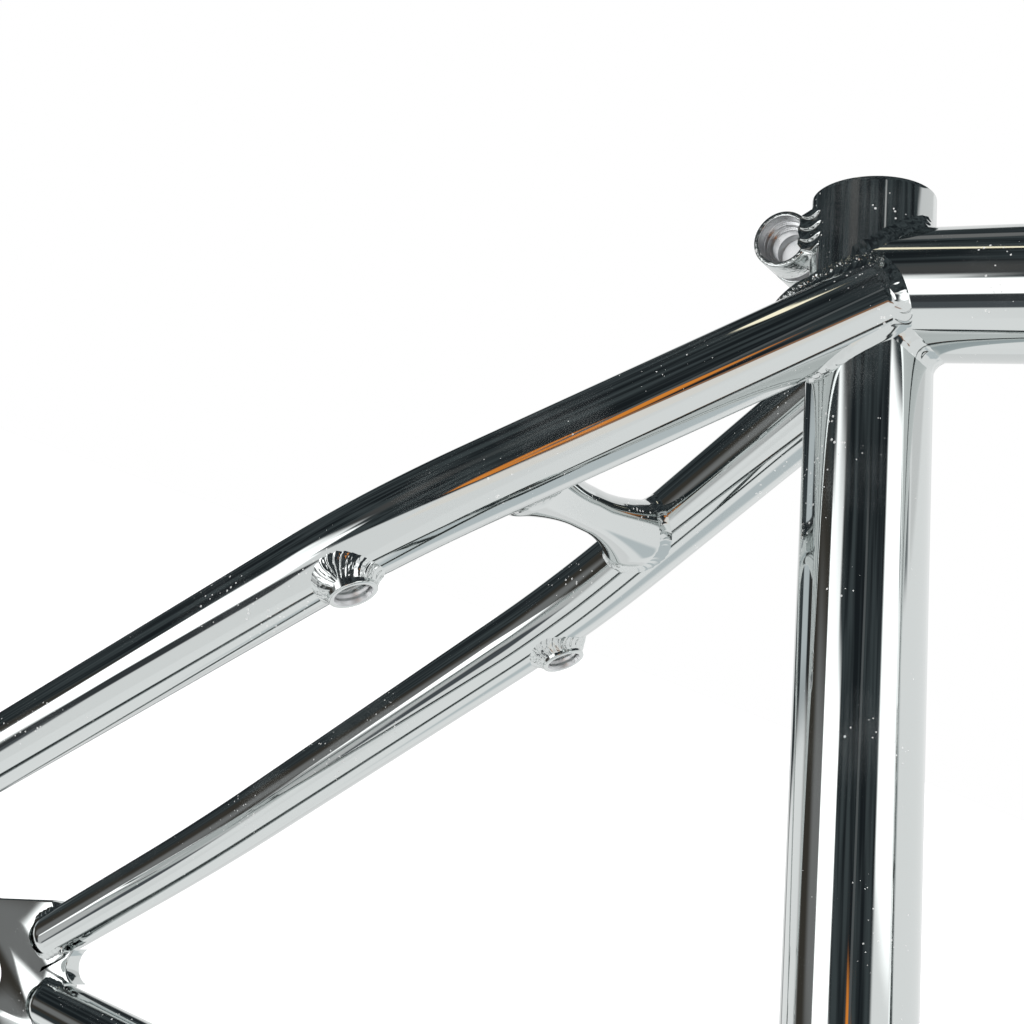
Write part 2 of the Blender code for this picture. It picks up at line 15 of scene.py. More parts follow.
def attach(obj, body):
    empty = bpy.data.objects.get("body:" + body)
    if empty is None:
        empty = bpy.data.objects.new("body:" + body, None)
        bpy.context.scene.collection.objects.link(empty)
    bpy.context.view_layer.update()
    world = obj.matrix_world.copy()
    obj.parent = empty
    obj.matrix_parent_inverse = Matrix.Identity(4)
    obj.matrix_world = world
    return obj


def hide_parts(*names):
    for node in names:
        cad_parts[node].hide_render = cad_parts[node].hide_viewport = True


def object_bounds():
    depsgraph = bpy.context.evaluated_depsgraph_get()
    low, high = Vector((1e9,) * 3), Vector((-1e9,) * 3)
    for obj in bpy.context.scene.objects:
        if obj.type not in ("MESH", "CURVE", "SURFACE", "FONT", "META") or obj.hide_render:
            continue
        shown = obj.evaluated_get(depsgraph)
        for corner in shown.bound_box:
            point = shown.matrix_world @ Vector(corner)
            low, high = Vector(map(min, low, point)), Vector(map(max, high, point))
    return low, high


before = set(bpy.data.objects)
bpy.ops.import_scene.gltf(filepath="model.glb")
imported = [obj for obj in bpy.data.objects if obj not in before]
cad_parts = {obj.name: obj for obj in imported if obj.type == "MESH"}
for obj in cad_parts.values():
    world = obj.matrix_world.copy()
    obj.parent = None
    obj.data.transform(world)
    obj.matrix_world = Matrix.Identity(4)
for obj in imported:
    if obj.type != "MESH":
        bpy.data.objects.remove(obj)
CAD_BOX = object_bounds()

# ---------- driving dimensions, as in the CAD model
SEAT_ANGLE, HEAD_ANGLE = math.radians(71.0), math.radians(74.5)
SEAT_TUBE_LENGTH = 0.2760
AXLE_BACK, AXLE_DROP = 0.3340, 0.0410
TOP_TUBE_BELOW_RIM = 0.0236
TOP_TUBE_TILT = math.radians(6.8)
TOP_TUBE_LENGTH = 0.5050
SEAT_TUBE_R, SEAT_BORE_R = 0.0143, 0.0128
TOP_TUBE_R = 0.01526
DOWN_TUBE_R = 0.01905
HEAD_TUBE_LENGTH, HEAD_TUBE_ABOVE_JOINT = 0.1200, 0.0230
HEAD_TUBE_R, HEAD_CUP_R, HEAD_BORE_R, BEARING_SEAT_R = 0.0223, 0.0250, 0.0186, 0.0210
HEAD_CUP_HEIGHT, HEAD_CUP_BLEND, BEARING_SEAT_DEPTH = 0.0110, 0.0050, 0.0030
DOWN_TUBE_JOINT = 0.0300
SHELL_WIDTH, SHELL_R, SHELL_BORE_R = 0.0680, 0.0250, 0.0206
STAY_SIDE, STAY_BELOW_RIM = 0.01136, 0.03174
STAY_FALL = math.radians(27.9)
STAY_SPLAY = [math.radians(angle) for angle in (17.2, 5.2, -1.0)]
STAY_BEND_AT, STAY_TUCK_AT, STAY_BEND_REACH = 0.1173, 0.2750, 0.0250
STAY_FORWARD = 0.0096
STAY_R, STAY_TAPER = 0.009525, 0.0061
STAY_END_TO_AXLE = 0.0260
CHAIN_STAY_CORNERS = ((0.0080, 0.0175), (0.0300, 0.0220), (0.0920, 0.0480), (0.3095, 0.0585))
CHAIN_STAY_REACH = 0.0100, 0.0280
CHAIN_STAY_R_FRONT, CHAIN_STAY_R_REAR, CHAIN_STAY_TAPER_FROM = 0.0111, 0.0080, 0.1200
SEAT_BRIDGE_AT, SEAT_BRIDGE_R = 0.0853, 0.0056
SEAT_BRIDGE_FLARE, SEAT_BRIDGE_FLARE_HIGH = 0.0106, 0.0080
SEAT_BRIDGE_PLAIN, SEAT_BRIDGE_FULL, SEAT_BRIDGE_CURVE = 0.10, 0.74, 1.8
CHAIN_BRIDGE_AT, CHAIN_BRIDGE_R = 0.0600, 0.00635
DROPOUT_THICKNESS, DROPOUT_SPACING, DROPOUT_ARM_R = 0.0060, 0.1100, 0.0098
AXLE_SLOT_R, AXLE_SLOT_BACK, AXLE_SLOT_FRONT = 0.0072, 0.0360, 0.0020
STAY_SLOT_DEPTH = 0.0120
BOSS_AT, BOSS_SIDE, BOSS_R, BOSS_FACE = 0.1292, 0.0484, 0.0060, 0.0124
BOSS_HOLE_R, BOSS_HOLE_DEPTH = 0.0042, 0.0095
CLAMP_BACK, CLAMP_BELOW_RIM, CLAMP_R = 0.0190, 0.0101, 0.0070
CLAMP_HALF_WIDTH, CLAMP_SLOT, CLAMP_SLOT_LENGTH = 0.0093, 0.0025, 0.0250
CLAMP_BORE_R, CLAMP_COUNTERBORE_R, CLAMP_COUNTERBORE_DEPTH = 0.0041, 0.00575, 0.0045

# ---------- quality of the smooth meshes
ROUND = 144  # points round a tube
EMBED = 0.0006  # how far a mitred end sinks into its neighbour's wall
DOME = 0.0036  # length over which a closed tube end rounds off
STAY_END_DOME = DOME * 1.6  # the same at a stay's end by the drop-out
DOME_TIP = 0.03  # share of the radius that is left at a closed end's tip
CAP_SCALES = (0.8, 0.5, 0.2)  # shrinking rings that close a mitred end
NEAR_END, NEAR_END_RINGS = 0.03, 13  # share of a tube at each end with closer rings, and their number
DIRECTION_REACH = 0.0012  # half the stretch of a path that gives its direction
MITRE_REACH = 0.06  # how far from a tube's end its mitred edge is looked for
MITRE_SCANS, MITRE_HALVINGS = 121, 12  # steps and halvings of that search
OFF_AXIS = (0.31, 0.20, 0.93)  # a direction that no lathed piece points along
SHARP_CUT = math.radians(35)  # edges sharper than this stay crisp on a cut piece
SHARP_PLATE = math.radians(30)  # the same for a flat plate
SIDES = (("right", -1.0), ("left", 1.0))
ANGLES = np.linspace(0, 2 * math.pi, ROUND, endpoint=False)


# ---------- vectors and layout lines
def vec(*values):
    return np.array(values, dtype=float)


def unit(v):
    return v / np.maximum(np.linalg.norm(v, axis=-1, keepdims=True), 1e-12)


LEFT = vec(0, 1, 0)
SEAT_UP = vec(-math.cos(SEAT_ANGLE), 0, math.sin(SEAT_ANGLE))
SEAT_FORWARD = vec(math.sin(SEAT_ANGLE), 0, math.cos(SEAT_ANGLE))
HEAD_UP = vec(-math.cos(HEAD_ANGLE), 0, math.sin(HEAD_ANGLE))
RIM = SEAT_UP * SEAT_TUBE_LENGTH
AXLE = vec(-AXLE_BACK, 0, -AXLE_DROP)
TOP_TUBE_DIRECTION = SEAT_FORWARD * math.cos(TOP_TUBE_TILT) - SEAT_UP * math.sin(TOP_TUBE_TILT)
TOP_TUBE_REAR = RIM - SEAT_UP * TOP_TUBE_BELOW_RIM
TOP_TUBE_FRONT = TOP_TUBE_REAR + TOP_TUBE_DIRECTION * TOP_TUBE_LENGTH
HEAD_TOP = TOP_TUBE_FRONT + HEAD_UP * HEAD_TUBE_ABOVE_JOINT
HEAD_BOTTOM = HEAD_TOP - HEAD_UP * HEAD_TUBE_LENGTH
DOWN_TUBE_FRONT = HEAD_BOTTOM + HEAD_UP * DOWN_TUBE_JOINT
STAY_DOWN = -SEAT_FORWARD * math.cos(STAY_FALL) - SEAT_UP * math.sin(STAY_FALL)
STAY_UNDER = SEAT_FORWARD * math.sin(STAY_FALL) - SEAT_UP * math.cos(STAY_FALL)
CHAIN_BACK = unit(AXLE)
CHAIN_UP = vec(CHAIN_BACK[2], 0, -CHAIN_BACK[0])


def beside_rim(forward, side, up):
    """A point given beside the seat tube, from the middle of its rim."""
    return RIM + SEAT_FORWARD * forward + LEFT * side + SEAT_UP * up


def rounded_path(corners, reaches, steps=24):
    """Straight runs between the corners, with each inner corner rounded off."""
    path = [corners[0]]
    for before, corner, after, reach in zip(corners, corners[1:], corners[2:], reaches):
        start = corner + unit(before - corner) * reach
        end = corner + unit(after - corner) * reach
        for t in np.linspace(0.0, 1.0, steps + 1):
            path.append(start * (1 - t) ** 2 + corner * 2 * t * (1 - t) + end * t ** 2)
    path.append(corners[-1])
    return path


def domed(path, radii, start=0.0, end=0.0, steps=12):
    """Extra points at the ends of a path, where its radius rounds off to a closed end."""
    path, radii = list(path), list(radii)
    for length, first in ((start, True), (end, False)):
        if length == 0.0:
            continue
        tip, inner = (path[0], path[1]) if first else (path[-1], path[-2])
        radius = radii[0] if first else radii[-1]
        inward = unit(inner - tip)
        points = [tip + inward * length * (1 - math.cos(math.pi / 2 * k / steps)) for k in range(steps + 1)]
        sizes = [max(DOME_TIP, math.sin(math.pi / 2 * k / steps)) * radius for k in range(steps + 1)]
        if first:
            path, radii = points + path[1:], sizes + radii[1:]
        else:
            path, radii = path[:-1] + points[::-1], radii[:-1] + sizes[::-1]
    return path, radii


# ---------- round solids that can be mitred and welded
class Tube:
    """A bar along a path, round or oval: it can be meshed, cut to its neighbours, and measured from."""

    def __init__(self, path, radii, high=None, reference=LEFT):
        self.path = np.array(path)
        self.wide = np.broadcast_to(np.array(radii, dtype=float), len(self.path)).copy()
        self.high = self.wide if high is None else np.array(high)
        self.reference = reference
        steps = np.linalg.norm(np.diff(self.path, axis=0), axis=1)
        self.marks = np.concatenate([[0.0], np.cumsum(steps)])
        self.length = self.marks[-1]

    def centre(self, s):
        return np.stack([np.interp(s, self.marks, self.path[:, i]) for i in range(3)], axis=-1)

    def axes(self, s):
        low, high = [np.clip(s + step, 0, self.length) for step in (-DIRECTION_REACH, DIRECTION_REACH)]
        along = unit(self.centre(high) - self.centre(low))
        across = unit(self.reference - along * (along @ self.reference)[..., None])
        return along, across, np.cross(along, across)

    def surface(self, s, angle, scale=1.0):
        _, across, up = self.axes(s)
        wide = np.interp(s, self.marks, self.wide) * np.cos(angle) * scale
        high = np.interp(s, self.marks, self.high) * np.sin(angle) * scale
        return self.centre(s) + across * wide[..., None] + up * high[..., None]

    def distance(self, points):
        """How far points lie outside the bar, which is taken to run on past its ends."""
        best = np.full(points.shape[:-1], np.inf)
        last = len(self.path) - 2
        for i in range(last + 1):
            run = self.path[i + 1] - self.path[i]
            t = (points - self.path[i]) @ run / (run @ run)
            t = np.clip(t, -np.inf if i == 0 else 0.0, np.inf if i == last else 1.0)
            away = points - self.path[i] - t[..., None] * run
            t = np.clip(t, 0, 1)
            wide = self.wide[i] + (self.wide[i + 1] - self.wide[i]) * t
            if self.high is self.wide:
                gap = np.linalg.norm(away, axis=-1) - wide
            else:
                high = self.high[i] + (self.high[i + 1] - self.high[i]) * t
                heading = unit(run)
                across = unit(self.reference - heading * (heading @ self.reference))
                a, b = away @ across, away @ np.cross(heading, across)
                gap = (np.sqrt((a / wide) ** 2 + (b / high) ** 2) - 1) * np.minimum(wide, high)
                gap = gap + 2 * np.abs(away @ heading)  # a point beside another stretch is off this one
            best = np.minimum(best, gap)
        return best

    def meet(self, others, angle, at_end, depth=0.0, scale=1.0):
        """Where each line along the bar sinks this deep into its neighbours, scanning outwards."""
        reach = min(MITRE_REACH, self.length)
        inner = self.length - reach if at_end else reach
        outer = self.length if at_end else 0.0
        s = np.full(angle.shape, outer)
        open_lines = np.ones(angle.shape, dtype=bool)
        scan = np.linspace(inner, outer, MITRE_SCANS)
        for near, far in zip(scan, scan[1:]):
            low, high = np.full(angle.shape, near), np.full(angle.shape, far)
            hit = open_lines & (others(self.surface(high, angle, scale)) < -depth)
            if not hit.any():
                continue
            for _ in range(MITRE_HALVINGS):
                middle = (low + high) / 2
                inside = others(self.surface(middle, angle, scale)) < -depth
                low, high = np.where(inside, low, middle), np.where(inside, middle, high)
            s[hit] = high[hit]
            open_lines &= ~hit
        return s


def union(*shapes):
    """The outside distance of several shapes together."""
    return lambda points: np.min([shape.distance(points) for shape in shapes], axis=0)


def slope(field, points):
    """Outward normals of a distance field, and how steep it is."""
    nudge = 0.00002
    parts = [field(points + nudge * axis) - field(points - nudge * axis) for axis in np.eye(3)]
    gradient = np.stack(parts, axis=-1) / (2 * nudge)
    steep = np.linalg.norm(gradient, axis=-1, keepdims=True)
    return gradient / np.maximum(steep, 1e-9), steep


def onto(field, points):
    """Points moved onto a surface."""
    for _ in range(3):
        normal, steep = slope(field, points)
        points = points - normal * field(points)[..., None] / np.maximum(steep, 0.3)
    return points


# ---------- meshes
def ring_faces(rings, points, closed_loop=False):
    faces = []
    for i in range(rings if closed_loop else rings - 1):
        a, b = i * points, (i + 1) % rings * points
        for j in range(points):
            k = (j + 1) % points
            faces.append((a + j, a + k, b + k, b + j))
    return faces


def add_object(name, mesh, place, sharp):
    """Put a mesh in the scene, shaded smooth but for its sharp edges."""
    mesh.shade_smooth()
    mesh.set_sharp_from_angle(angle=sharp)
    obj = bpy.data.objects.new(name, mesh)
    obj.location = place
    bpy.context.scene.collection.objects.link(obj)
    return obj


def make_object(name, vertices, faces, sharp=35.0):
    """A smooth mesh object that keeps its own place, with its origin at its middle."""
    vertices = np.asarray(vertices)
    middle = (vertices.min(axis=0) + vertices.max(axis=0)) / 2
    mesh = bpy.data.meshes.new(name)
    mesh.from_pydata((vertices - middle).tolist(), [], faces)
    shape = bmesh.new()
    shape.from_mesh(mesh)
    bmesh.ops.recalc_face_normals(shape, faces=shape.faces)
    shape.to_mesh(mesh)
    shape.free()
    return add_object(name, mesh, middle, math.radians(sharp))


def stack(name, rings):
    """A closed solid from rings of points, with a fan over its first and last ring."""
    rings = [np.asarray(ring) for ring in rings]
    count, points = len(rings), len(rings[0])
    vertices = list(np.concatenate(rings)) + [rings[0].mean(axis=0), rings[-1].mean(axis=0)]
    faces = ring_faces(count, points)
    first, last = count * points, count * points + 1
    base = (count - 1) * points
    for j in range(points):
        k = (j + 1) % points
        faces.append((first, k, j))
        faces.append((last, base + j, base + k))
    return make_object(name, vertices, faces)


def shares(rings):
    """Places along a tube, closer together near its ends."""
    close = np.linspace(0.0, NEAR_END, NEAR_END_RINGS)
    return np.concatenate([close, np.linspace(NEAR_END, 1 - NEAR_END, rings)[1:-1], 1 - close[::-1]])


def tube_object(name, tube, start=None, end=None, rings=90):
    """A bar whose ends are cut to the neighbours and closed inside their walls."""
    levels = {}
    for scale in (1.0,) + CAP_SCALES:
        for others, at_end in ((start, False), (end, True)):
            if others is None:
                levels[scale, at_end] = np.full(ROUND, tube.length if at_end else 0.0)
            else:
                levels[scale, at_end] = tube.meet(others, ANGLES, at_end, EMBED, scale)
    grid = [tube.surface(levels[scale, False], ANGLES, scale) for scale in reversed(CAP_SCALES)]
    for t in shares(rings):
        grid.append(tube.surface(levels[1.0, False] * (1 - t) + levels[1.0, True] * t, ANGLES))
    grid += [tube.surface(levels[scale, True], ANGLES, scale) for scale in CAP_SCALES]
    return stack(name, grid)


def around(origin, axis, radius, height):
    """A ring of points about an axis."""
    across = unit(np.cross(axis, OFF_AXIS))
    up = np.cross(axis, across)
    turn = np.cos(ANGLES)[:, None] * across + np.sin(ANGLES)[:, None] * up
    return origin + axis * height + turn * radius


def eased(corners, steps=5):
    """Round off the (radius, height, rounding) corners of a closed outline."""
    outline = []
    for i, (radius, height, rounding) in enumerate(corners):
        corner = vec(radius, height)
        if rounding == 0.0:
            outline.append(corner)
            continue
        before = unit(vec(*corners[i - 1][:2]) - corner) * rounding
        after = unit(vec(*corners[(i + 1) % len(corners)][:2]) - corner) * rounding
        for t in np.linspace(0, 1, steps):
            outline.append(corner + before * (1 - t) ** 2 + after * t ** 2)
    return outline


def lathe(name, corners, origin, axis, sharp=35.0):
    """Turn a closed outline into a ring-shaped solid."""
    profile = eased(corners)
    rings = [around(origin, axis, radius, height) for radius, height in profile]
    faces = ring_faces(len(rings), ROUND, closed_loop=True)
    return make_object(name, np.concatenate(rings), faces, sharp)


def plate(name, outline, thickness, centre, forward, up, ease):
    """A flat plate of the given outline, with its edges eased."""
    shape = bmesh.new()
    side = np.cross(up, forward)
    loop = [shape.verts.new(Vector(forward * x + up * z - side * thickness / 2)) for x, z in outline]
    face = shape.faces.new(loop)
    extruded = bmesh.ops.extrude_face_region(shape, geom=[face])["geom"]
    moved = [item for item in extruded if isinstance(item, bmesh.types.BMVert)]
    bmesh.ops.translate(shape, verts=moved, vec=Vector(side * thickness))
    bmesh.ops.recalc_face_normals(shape, faces=shape.faces)
    sides = [face for face in shape.faces if len(face.verts) > 4]
    edges = list({edge for face in sides for edge in face.edges})
    bmesh.ops.bevel(shape, geom=edges, offset=ease, segments=3, profile=0.5, affect="EDGES")
    mesh = bpy.data.meshes.new(name)
    shape.to_mesh(mesh)
    shape.free()
    return add_object(name, mesh, centre, SHARP_PLATE)


def carve(obj, *cutters):
    """Cut closed shapes out of an object for good."""
    for cutter in cutters:
        modifier = obj.modifiers.new("cut", "BOOLEAN")
        modifier.operation, modifier.solver, modifier.object = "DIFFERENCE", "EXACT", cutter
    mesh = bpy.data.meshes.new_from_object(obj.evaluated_get(bpy.context.evaluated_depsgraph_get()))
    obj.modifiers.clear()
    obj.data = mesh
    mesh.set_sharp_from_angle(angle=SHARP_CUT)
    for cutter in cutters:
        bpy.data.objects.remove(cutter)


# ---------- weld beads
WELD_PITCH = 0.0020  # from one scale of a bead to the next
RIPPLE = 0.00016  # height of a scale
BEAD_ROWS = 17  # points across a bead's face
BEAD_SAMPLES, BROAD_SAMPLES, OPEN_SAMPLES = 320, 460, 260  # points along a bead
WOBBLE, WOBBLE_KNOTS = 0.1, 12  # how much a bead's width wanders, and at how many places it is drawn
EDGE_SINK = 0.00010  # how far a bead's edges dip under the surfaces they run on to
OPEN_END, OPEN_END_WIDTH = 0.002, 0.3  # length over which an open bead narrows, and its width at the end
SCALE_BOW = 0.55  # how far a scale trails back at the bead's edges, in scales
SCALE_RISE, SCALE_FALL, SCALE_MEAN = 0.18, 1.3, 0.3  # a scale's steep front, long fall and mean height
CORE_SHARE = 0.7  # how far the bead's hidden side is drawn in under the joint


def weld_bead(name, points, field_a, field_b, width, closed=True, bulge=0.35, ripple=RIPPLE, rough=0.0,
              seed=0, sink=0.0011, pitch=WELD_PITCH):
    """A bead of overlapping scales along the line where two surfaces meet, wider than the joint's gap."""
    count = len(points)
    steps = np.linalg.norm(np.diff(points, axis=0, append=points[:1]), axis=1)
    along = np.concatenate([[0.0], np.cumsum(steps)])[:count]
    run = along[-1] + (steps[-1] if closed else 0.0)
    pitch = run / max(3, round(run / pitch))
    rng = np.random.default_rng(seed)
    drawn = np.append(rng.uniform(-WOBBLE, WOBBLE, WOBBLE_KNOTS - 1), 0.0)
    wobble = np.interp(along, np.linspace(0, run, WOBBLE_KNOTS), drawn)
    normal_a, normal_b = slope(field_a, points)[0], slope(field_b, points)[0]
    cosine = np.sum(normal_a * normal_b, axis=1)[:, None]
    toward_a = unit(normal_b - normal_a * cosine)
    toward_b = unit(normal_a - normal_b * cosine)
    out = unit(normal_a + normal_b)
    from_end = np.minimum(along, run - along)
    ends = 1.0 if closed else np.clip(from_end / OPEN_END + OPEN_END_WIDTH, 0, 1)
    reach_a, reach_b = [np.broadcast_to(side, count) * (1 + wobble) * ends for side in width]
    edge_a = onto(field_a, points + toward_a * reach_a[:, None]) - normal_a * EDGE_SINK
    edge_b = onto(field_b, points + toward_b * reach_b[:, None]) - normal_b * EDGE_SINK
    height = np.sum(((edge_a + edge_b) / 2 - points) * out, axis=1)
    crown = points + out * (height * bulge)[:, None]
    grid = []
    for u in np.linspace(0, 1, BEAD_ROWS):
        row = edge_a * (1 - u) ** 2 + crown * 2 * u * (1 - u) + edge_b * u ** 2
        scale = (along / pitch - SCALE_BOW * (2 * u - 1) ** 2) % 1.0
        profile = np.minimum(1, scale / SCALE_RISE) * (1 - scale) ** SCALE_FALL - SCALE_MEAN
        lift = ripple * profile * math.sin(math.pi * u) ** 0.6
        if rough:
            jitter = rng.uniform(-1, 1, count)
            lift = lift + rough * (jitter + np.roll(jitter, 1)) * math.sin(math.pi * u)
        grid.append(row + out * lift[:, None])
    for u in (0.75, 0.5, 0.25):
        grid.append((edge_a * (1 - u) + edge_b * u) * (1 - CORE_SHARE) + (points - out * sink) * CORE_SHARE)
    grid = np.array(grid)
    rows = len(grid)
    faces = ring_faces(count, rows, closed_loop=closed)
    if not closed:
        faces.append(tuple(range(rows)))
        faces.append(tuple((count - 1) * rows + i for i in reversed(range(rows))))
    return make_object(name, grid.transpose(1, 0, 2).reshape(-1, 3), faces, sharp=60.0)


def mitre_line(tube, others, at_end, angle):
    """Where a tube's surface meets its neighbours, eased so that a bead runs smoothly along it."""
    s = tube.meet(others, angle, at_end)
    for _ in range(3):
        s[1:-1] = (s[:-2] + s[1:-1] * 2 + s[2:]) / 4
    return s


def mitre_weld(name, tube, others, at_end, width, **shape):
    """The bead round the end of a tube, where it meets its neighbours."""
    angle = np.linspace(0, 2 * math.pi, BEAD_SAMPLES, endpoint=False)
    s = mitre_line(tube, others, at_end, angle)
    return weld_bead(name, tube.surface(s, angle), tube.distance, others, (width, width), **shape)


CLUSTER_WIDTH, CLUSTER_ON_STAY, CLUSTER_ON_TUBE = 0.0010, 0.0022, 0.0011  # least, and more outside
CLUSTER_FRONT, CLUSTER_AT_FRONT, CLUSTER_BULGE = 0.006, 0.0016, 1.25  # the heap over the front end
BOSS_BEAD_UP, BOSS_BEAD_OUT, BOSS_BEAD_BELOW_FACE = 0.0046, 0.0028, 0.0009
ROUGH_PASS = {-1.0: (205, 318), 1.0: (222, 335)}  # degrees round the stay, for each side
ROUGH_WIDTH = (0.0020, 0.0030)  # on the stay, on the tubes


def cluster_weld(name, stay, side, seed):
    """The bead of a seat stay: broad over its closed front end, narrow in the gap behind the seat tube."""
    angle = np.linspace(0, 2 * math.pi, BROAD_SAMPLES, endpoint=False)
    s = mitre_line(stay, cluster, False, angle)
    outer = (1 + side * np.cos(angle)) / 2
    front = np.exp(-(s / CLUSTER_FRONT) ** 2)
    on_stay = CLUSTER_WIDTH + CLUSTER_ON_STAY * outer + CLUSTER_AT_FRONT * front
    on_tube = CLUSTER_WIDTH + CLUSTER_ON_TUBE * outer
    return weld_bead(name, stay.surface(s, angle), stay.distance, cluster, (on_stay, on_tube),
                     bulge=CLUSTER_BULGE, seed=seed)


def boss_weld(name, boss, stay, seed):
    """The bead of a brake boss, heaped up almost to the boss's face."""
    angle = np.linspace(0, 2 * math.pi, BEAD_SAMPLES, endpoint=False)
    s = mitre_line(boss, stay.distance, True, angle)
    up_boss = np.minimum(BOSS_BEAD_UP, s - BOSS_BEAD_BELOW_FACE)
    return weld_bead(name, boss.surface(s, angle), boss.distance, stay.distance, (up_boss, BOSS_BEAD_OUT),
                     bulge=0.85, ripple=0.00034, rough=0.00004, seed=seed, pitch=0.0014)


def rough_weld(name, stay, side, seed):
    """A second, badly ground pass over the top of the same joint."""
    first, last = ROUGH_PASS[side]
    angle = np.linspace(math.radians(first), math.radians(last), OPEN_SAMPLES)
    s = mitre_line(stay, cluster, False, angle)
    return weld_bead(name, stay.surface(s, angle), stay.distance, cluster, ROUGH_WIDTH, closed=False,
                     bulge=0.75, ripple=0.00030, rough=0.00026, seed=seed)


def edge_weld(name, tube, side, face, from_s, width, **shape):
    """The bead where a flat plate, let into a tube's closed end, leaves one side of the tube."""
    least_half_width = 0.0004
    s = np.linspace(from_s, tube.length, 300)
    offset = (tube.centre(s) @ LEFT - face) * side
    radius = np.interp(s, tube.marks, tube.wide)
    shown = radius > np.abs(offset) + least_half_width
    s, offset, radius = s[shown], offset[shown], radius[shown]
    _, across, up = tube.axes(s)
    half = np.sqrt(radius ** 2 - offset ** 2)[:, None]
    middle = tube.centre(s) - LEFT * side * offset[:, None]
    line = np.concatenate([middle + up * half, (middle - up * half)[::-1]])
    steps = np.concatenate([[0.0], np.cumsum(np.linalg.norm(np.diff(line, axis=0), axis=1))])
    even = np.linspace(0, steps[-1], OPEN_SAMPLES)
    points = np.stack([np.interp(even, steps, line[:, i]) for i in range(3)], axis=-1)
    return weld_bead(name, points, tube.distance, lambda p: (p @ LEFT - face) * side, (width, width),
                     closed=False, **shape)


# ---------- materials
def new_material(name, color, metallic, roughness):
    material = bpy.data.materials.new(name)
    material.use_nodes = True
    shader = material.node_tree.nodes["Principled BSDF"]
    shader.inputs["Base Color"].default_value = (*color, 1.0)
    shader.inputs["Metallic"].default_value = metallic
    shader.inputs["Roughness"].default_value = roughness
    return material, material.node_tree, shader


def noise(tree, coordinates, scale, detail):
    node = tree.nodes.new("ShaderNodeTexNoise")
    node.inputs["Scale"].default_value = scale
    node.inputs["Detail"].default_value = detail
    tree.links.new(coordinates, node.inputs["Vector"])
    return node.outputs["Fac"]


def remap(tree, value, low, high, to_low, to_high):
    node = tree.nodes.new("ShaderNodeMapRange")
    node.interpolation_type = "SMOOTHSTEP"
    for socket, number in zip(("From Min", "From Max", "To Min", "To Max"), (low, high, to_low, to_high)):
        node.inputs[socket].default_value = number
    tree.links.new(value, node.inputs["Value"])
    return node.outputs["Result"]


def compute(tree, operation, *values):
    """A sum on one to three values, each a number or another node's output."""
    node = tree.nodes.new("ShaderNodeMath")
    node.operation = operation
    for socket, value in zip(node.inputs, values):
        if isinstance(value, (int, float)):
            socket.default_value = value
        else:
            tree.links.new(value, socket)
    return node.outputs[0]


def mix(tree, factor, a, b):
    """A colour between two, each a fixed colour or another node's output."""
    node = tree.nodes.new("ShaderNodeMix")
    node.data_type = "RGBA"
    tree.links.new(factor, node.inputs["Factor"])
    for socket, value in (("A", a), ("B", b)):
        if isinstance(value, tuple):
            node.inputs[socket].default_value = (*value, 1.0)
        else:
            tree.links.new(value, node.inputs[socket])
    return node.outputs["Result"]


def bump(tree, height, depth, normal=None):
    """Normals of a surface with this relief, on top of those given."""
    node = tree.nodes.new("ShaderNodeBump")
    node.inputs["Distance"].default_value = depth
    node.inputs["Strength"].default_value = 1.0
    tree.links.new(height, node.inputs["Height"])
    if normal is not None:
        tree.links.new(normal, node.inputs["Normal"])
    return node.outputs["Normal"]


DUST_COLOR, DUST_METALLIC = (0.82, 0.83, 0.82), 0.15
FILM = 0.06  # how far a thin dull film takes the metal's shine down


def chrome(name, roughness=0.035, tint=(0.63, 0.66, 0.655), wave=0.00003, grain=0.0, dust=0.16):
    """Plated steel: a mirror with faint waves, hazy patches, specks of dust and, on some pieces, a grain."""
    material, tree, shader = new_material(name, tint, 1.0, roughness)
    place = tree.nodes.new("ShaderNodeTexCoord").outputs["Object"]
    haze = remap(tree, noise(tree, place, 55.0, 5.0), 0.35, 0.75, roughness * 0.6, roughness * 2.2)
    tree.links.new(haze, shader.inputs["Roughness"])
    specks = tree.nodes.new("ShaderNodeTexVoronoi")
    specks.inputs["Scale"].default_value = 650.0
    tree.links.new(place, specks.inputs["Vector"])
    patches = remap(tree, noise(tree, place, 60.0, 3.0), 0.47, 0.70, 0.0, dust)
    dusty = compute(tree, "LESS_THAN", specks.outputs["Distance"], patches)
    tree.links.new(mix(tree, dusty, tint, DUST_COLOR), shader.inputs["Base Color"])
    film = remap(tree, noise(tree, place, 36.0, 9.0), 0.50, 0.78, 0.0, FILM)
    metallic = compute(tree, "SUBTRACT", remap(tree, dusty, 0.0, 1.0, 1.0, DUST_METALLIC), film)
    tree.links.new(metallic, shader.inputs["Metallic"])
    normal = bump(tree, noise(tree, place, 42.0, 1.0), wave)
    if grain:
        normal = bump(tree, noise(tree, place, 900.0, 6.0), grain, normal)
    tree.links.new(normal, shader.inputs["Normal"])
    return material


TUBE_CHROME = chrome("chrome_tube", dust=0.21)
STAY_CHROME = chrome("chrome_stay", dust=0.2)
BEAD_CHROME = chrome("chrome_bead", roughness=0.06, wave=0.00006)
ROUGH_BEAD = chrome("chrome_rough_bead", roughness=0.10, wave=0.0001, grain=0.00018, dust=0.35)
FITTING_CHROME = chrome("chrome_fitting", roughness=0.05)
LUG_CHROME = chrome("chrome_lug", roughness=0.10, grain=0.00012, dust=0.45)
SATIN_STEEL = chrome("steel_satin", roughness=0.30, tint=(0.74, 0.75, 0.76), grain=0.00003)


def wear(obj, slot, material, *nodes):
    obj.data.materials.clear()
    obj.data.materials.append(material)
    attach(obj, "root")
    if nodes:
        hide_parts(*nodes)
    return obj


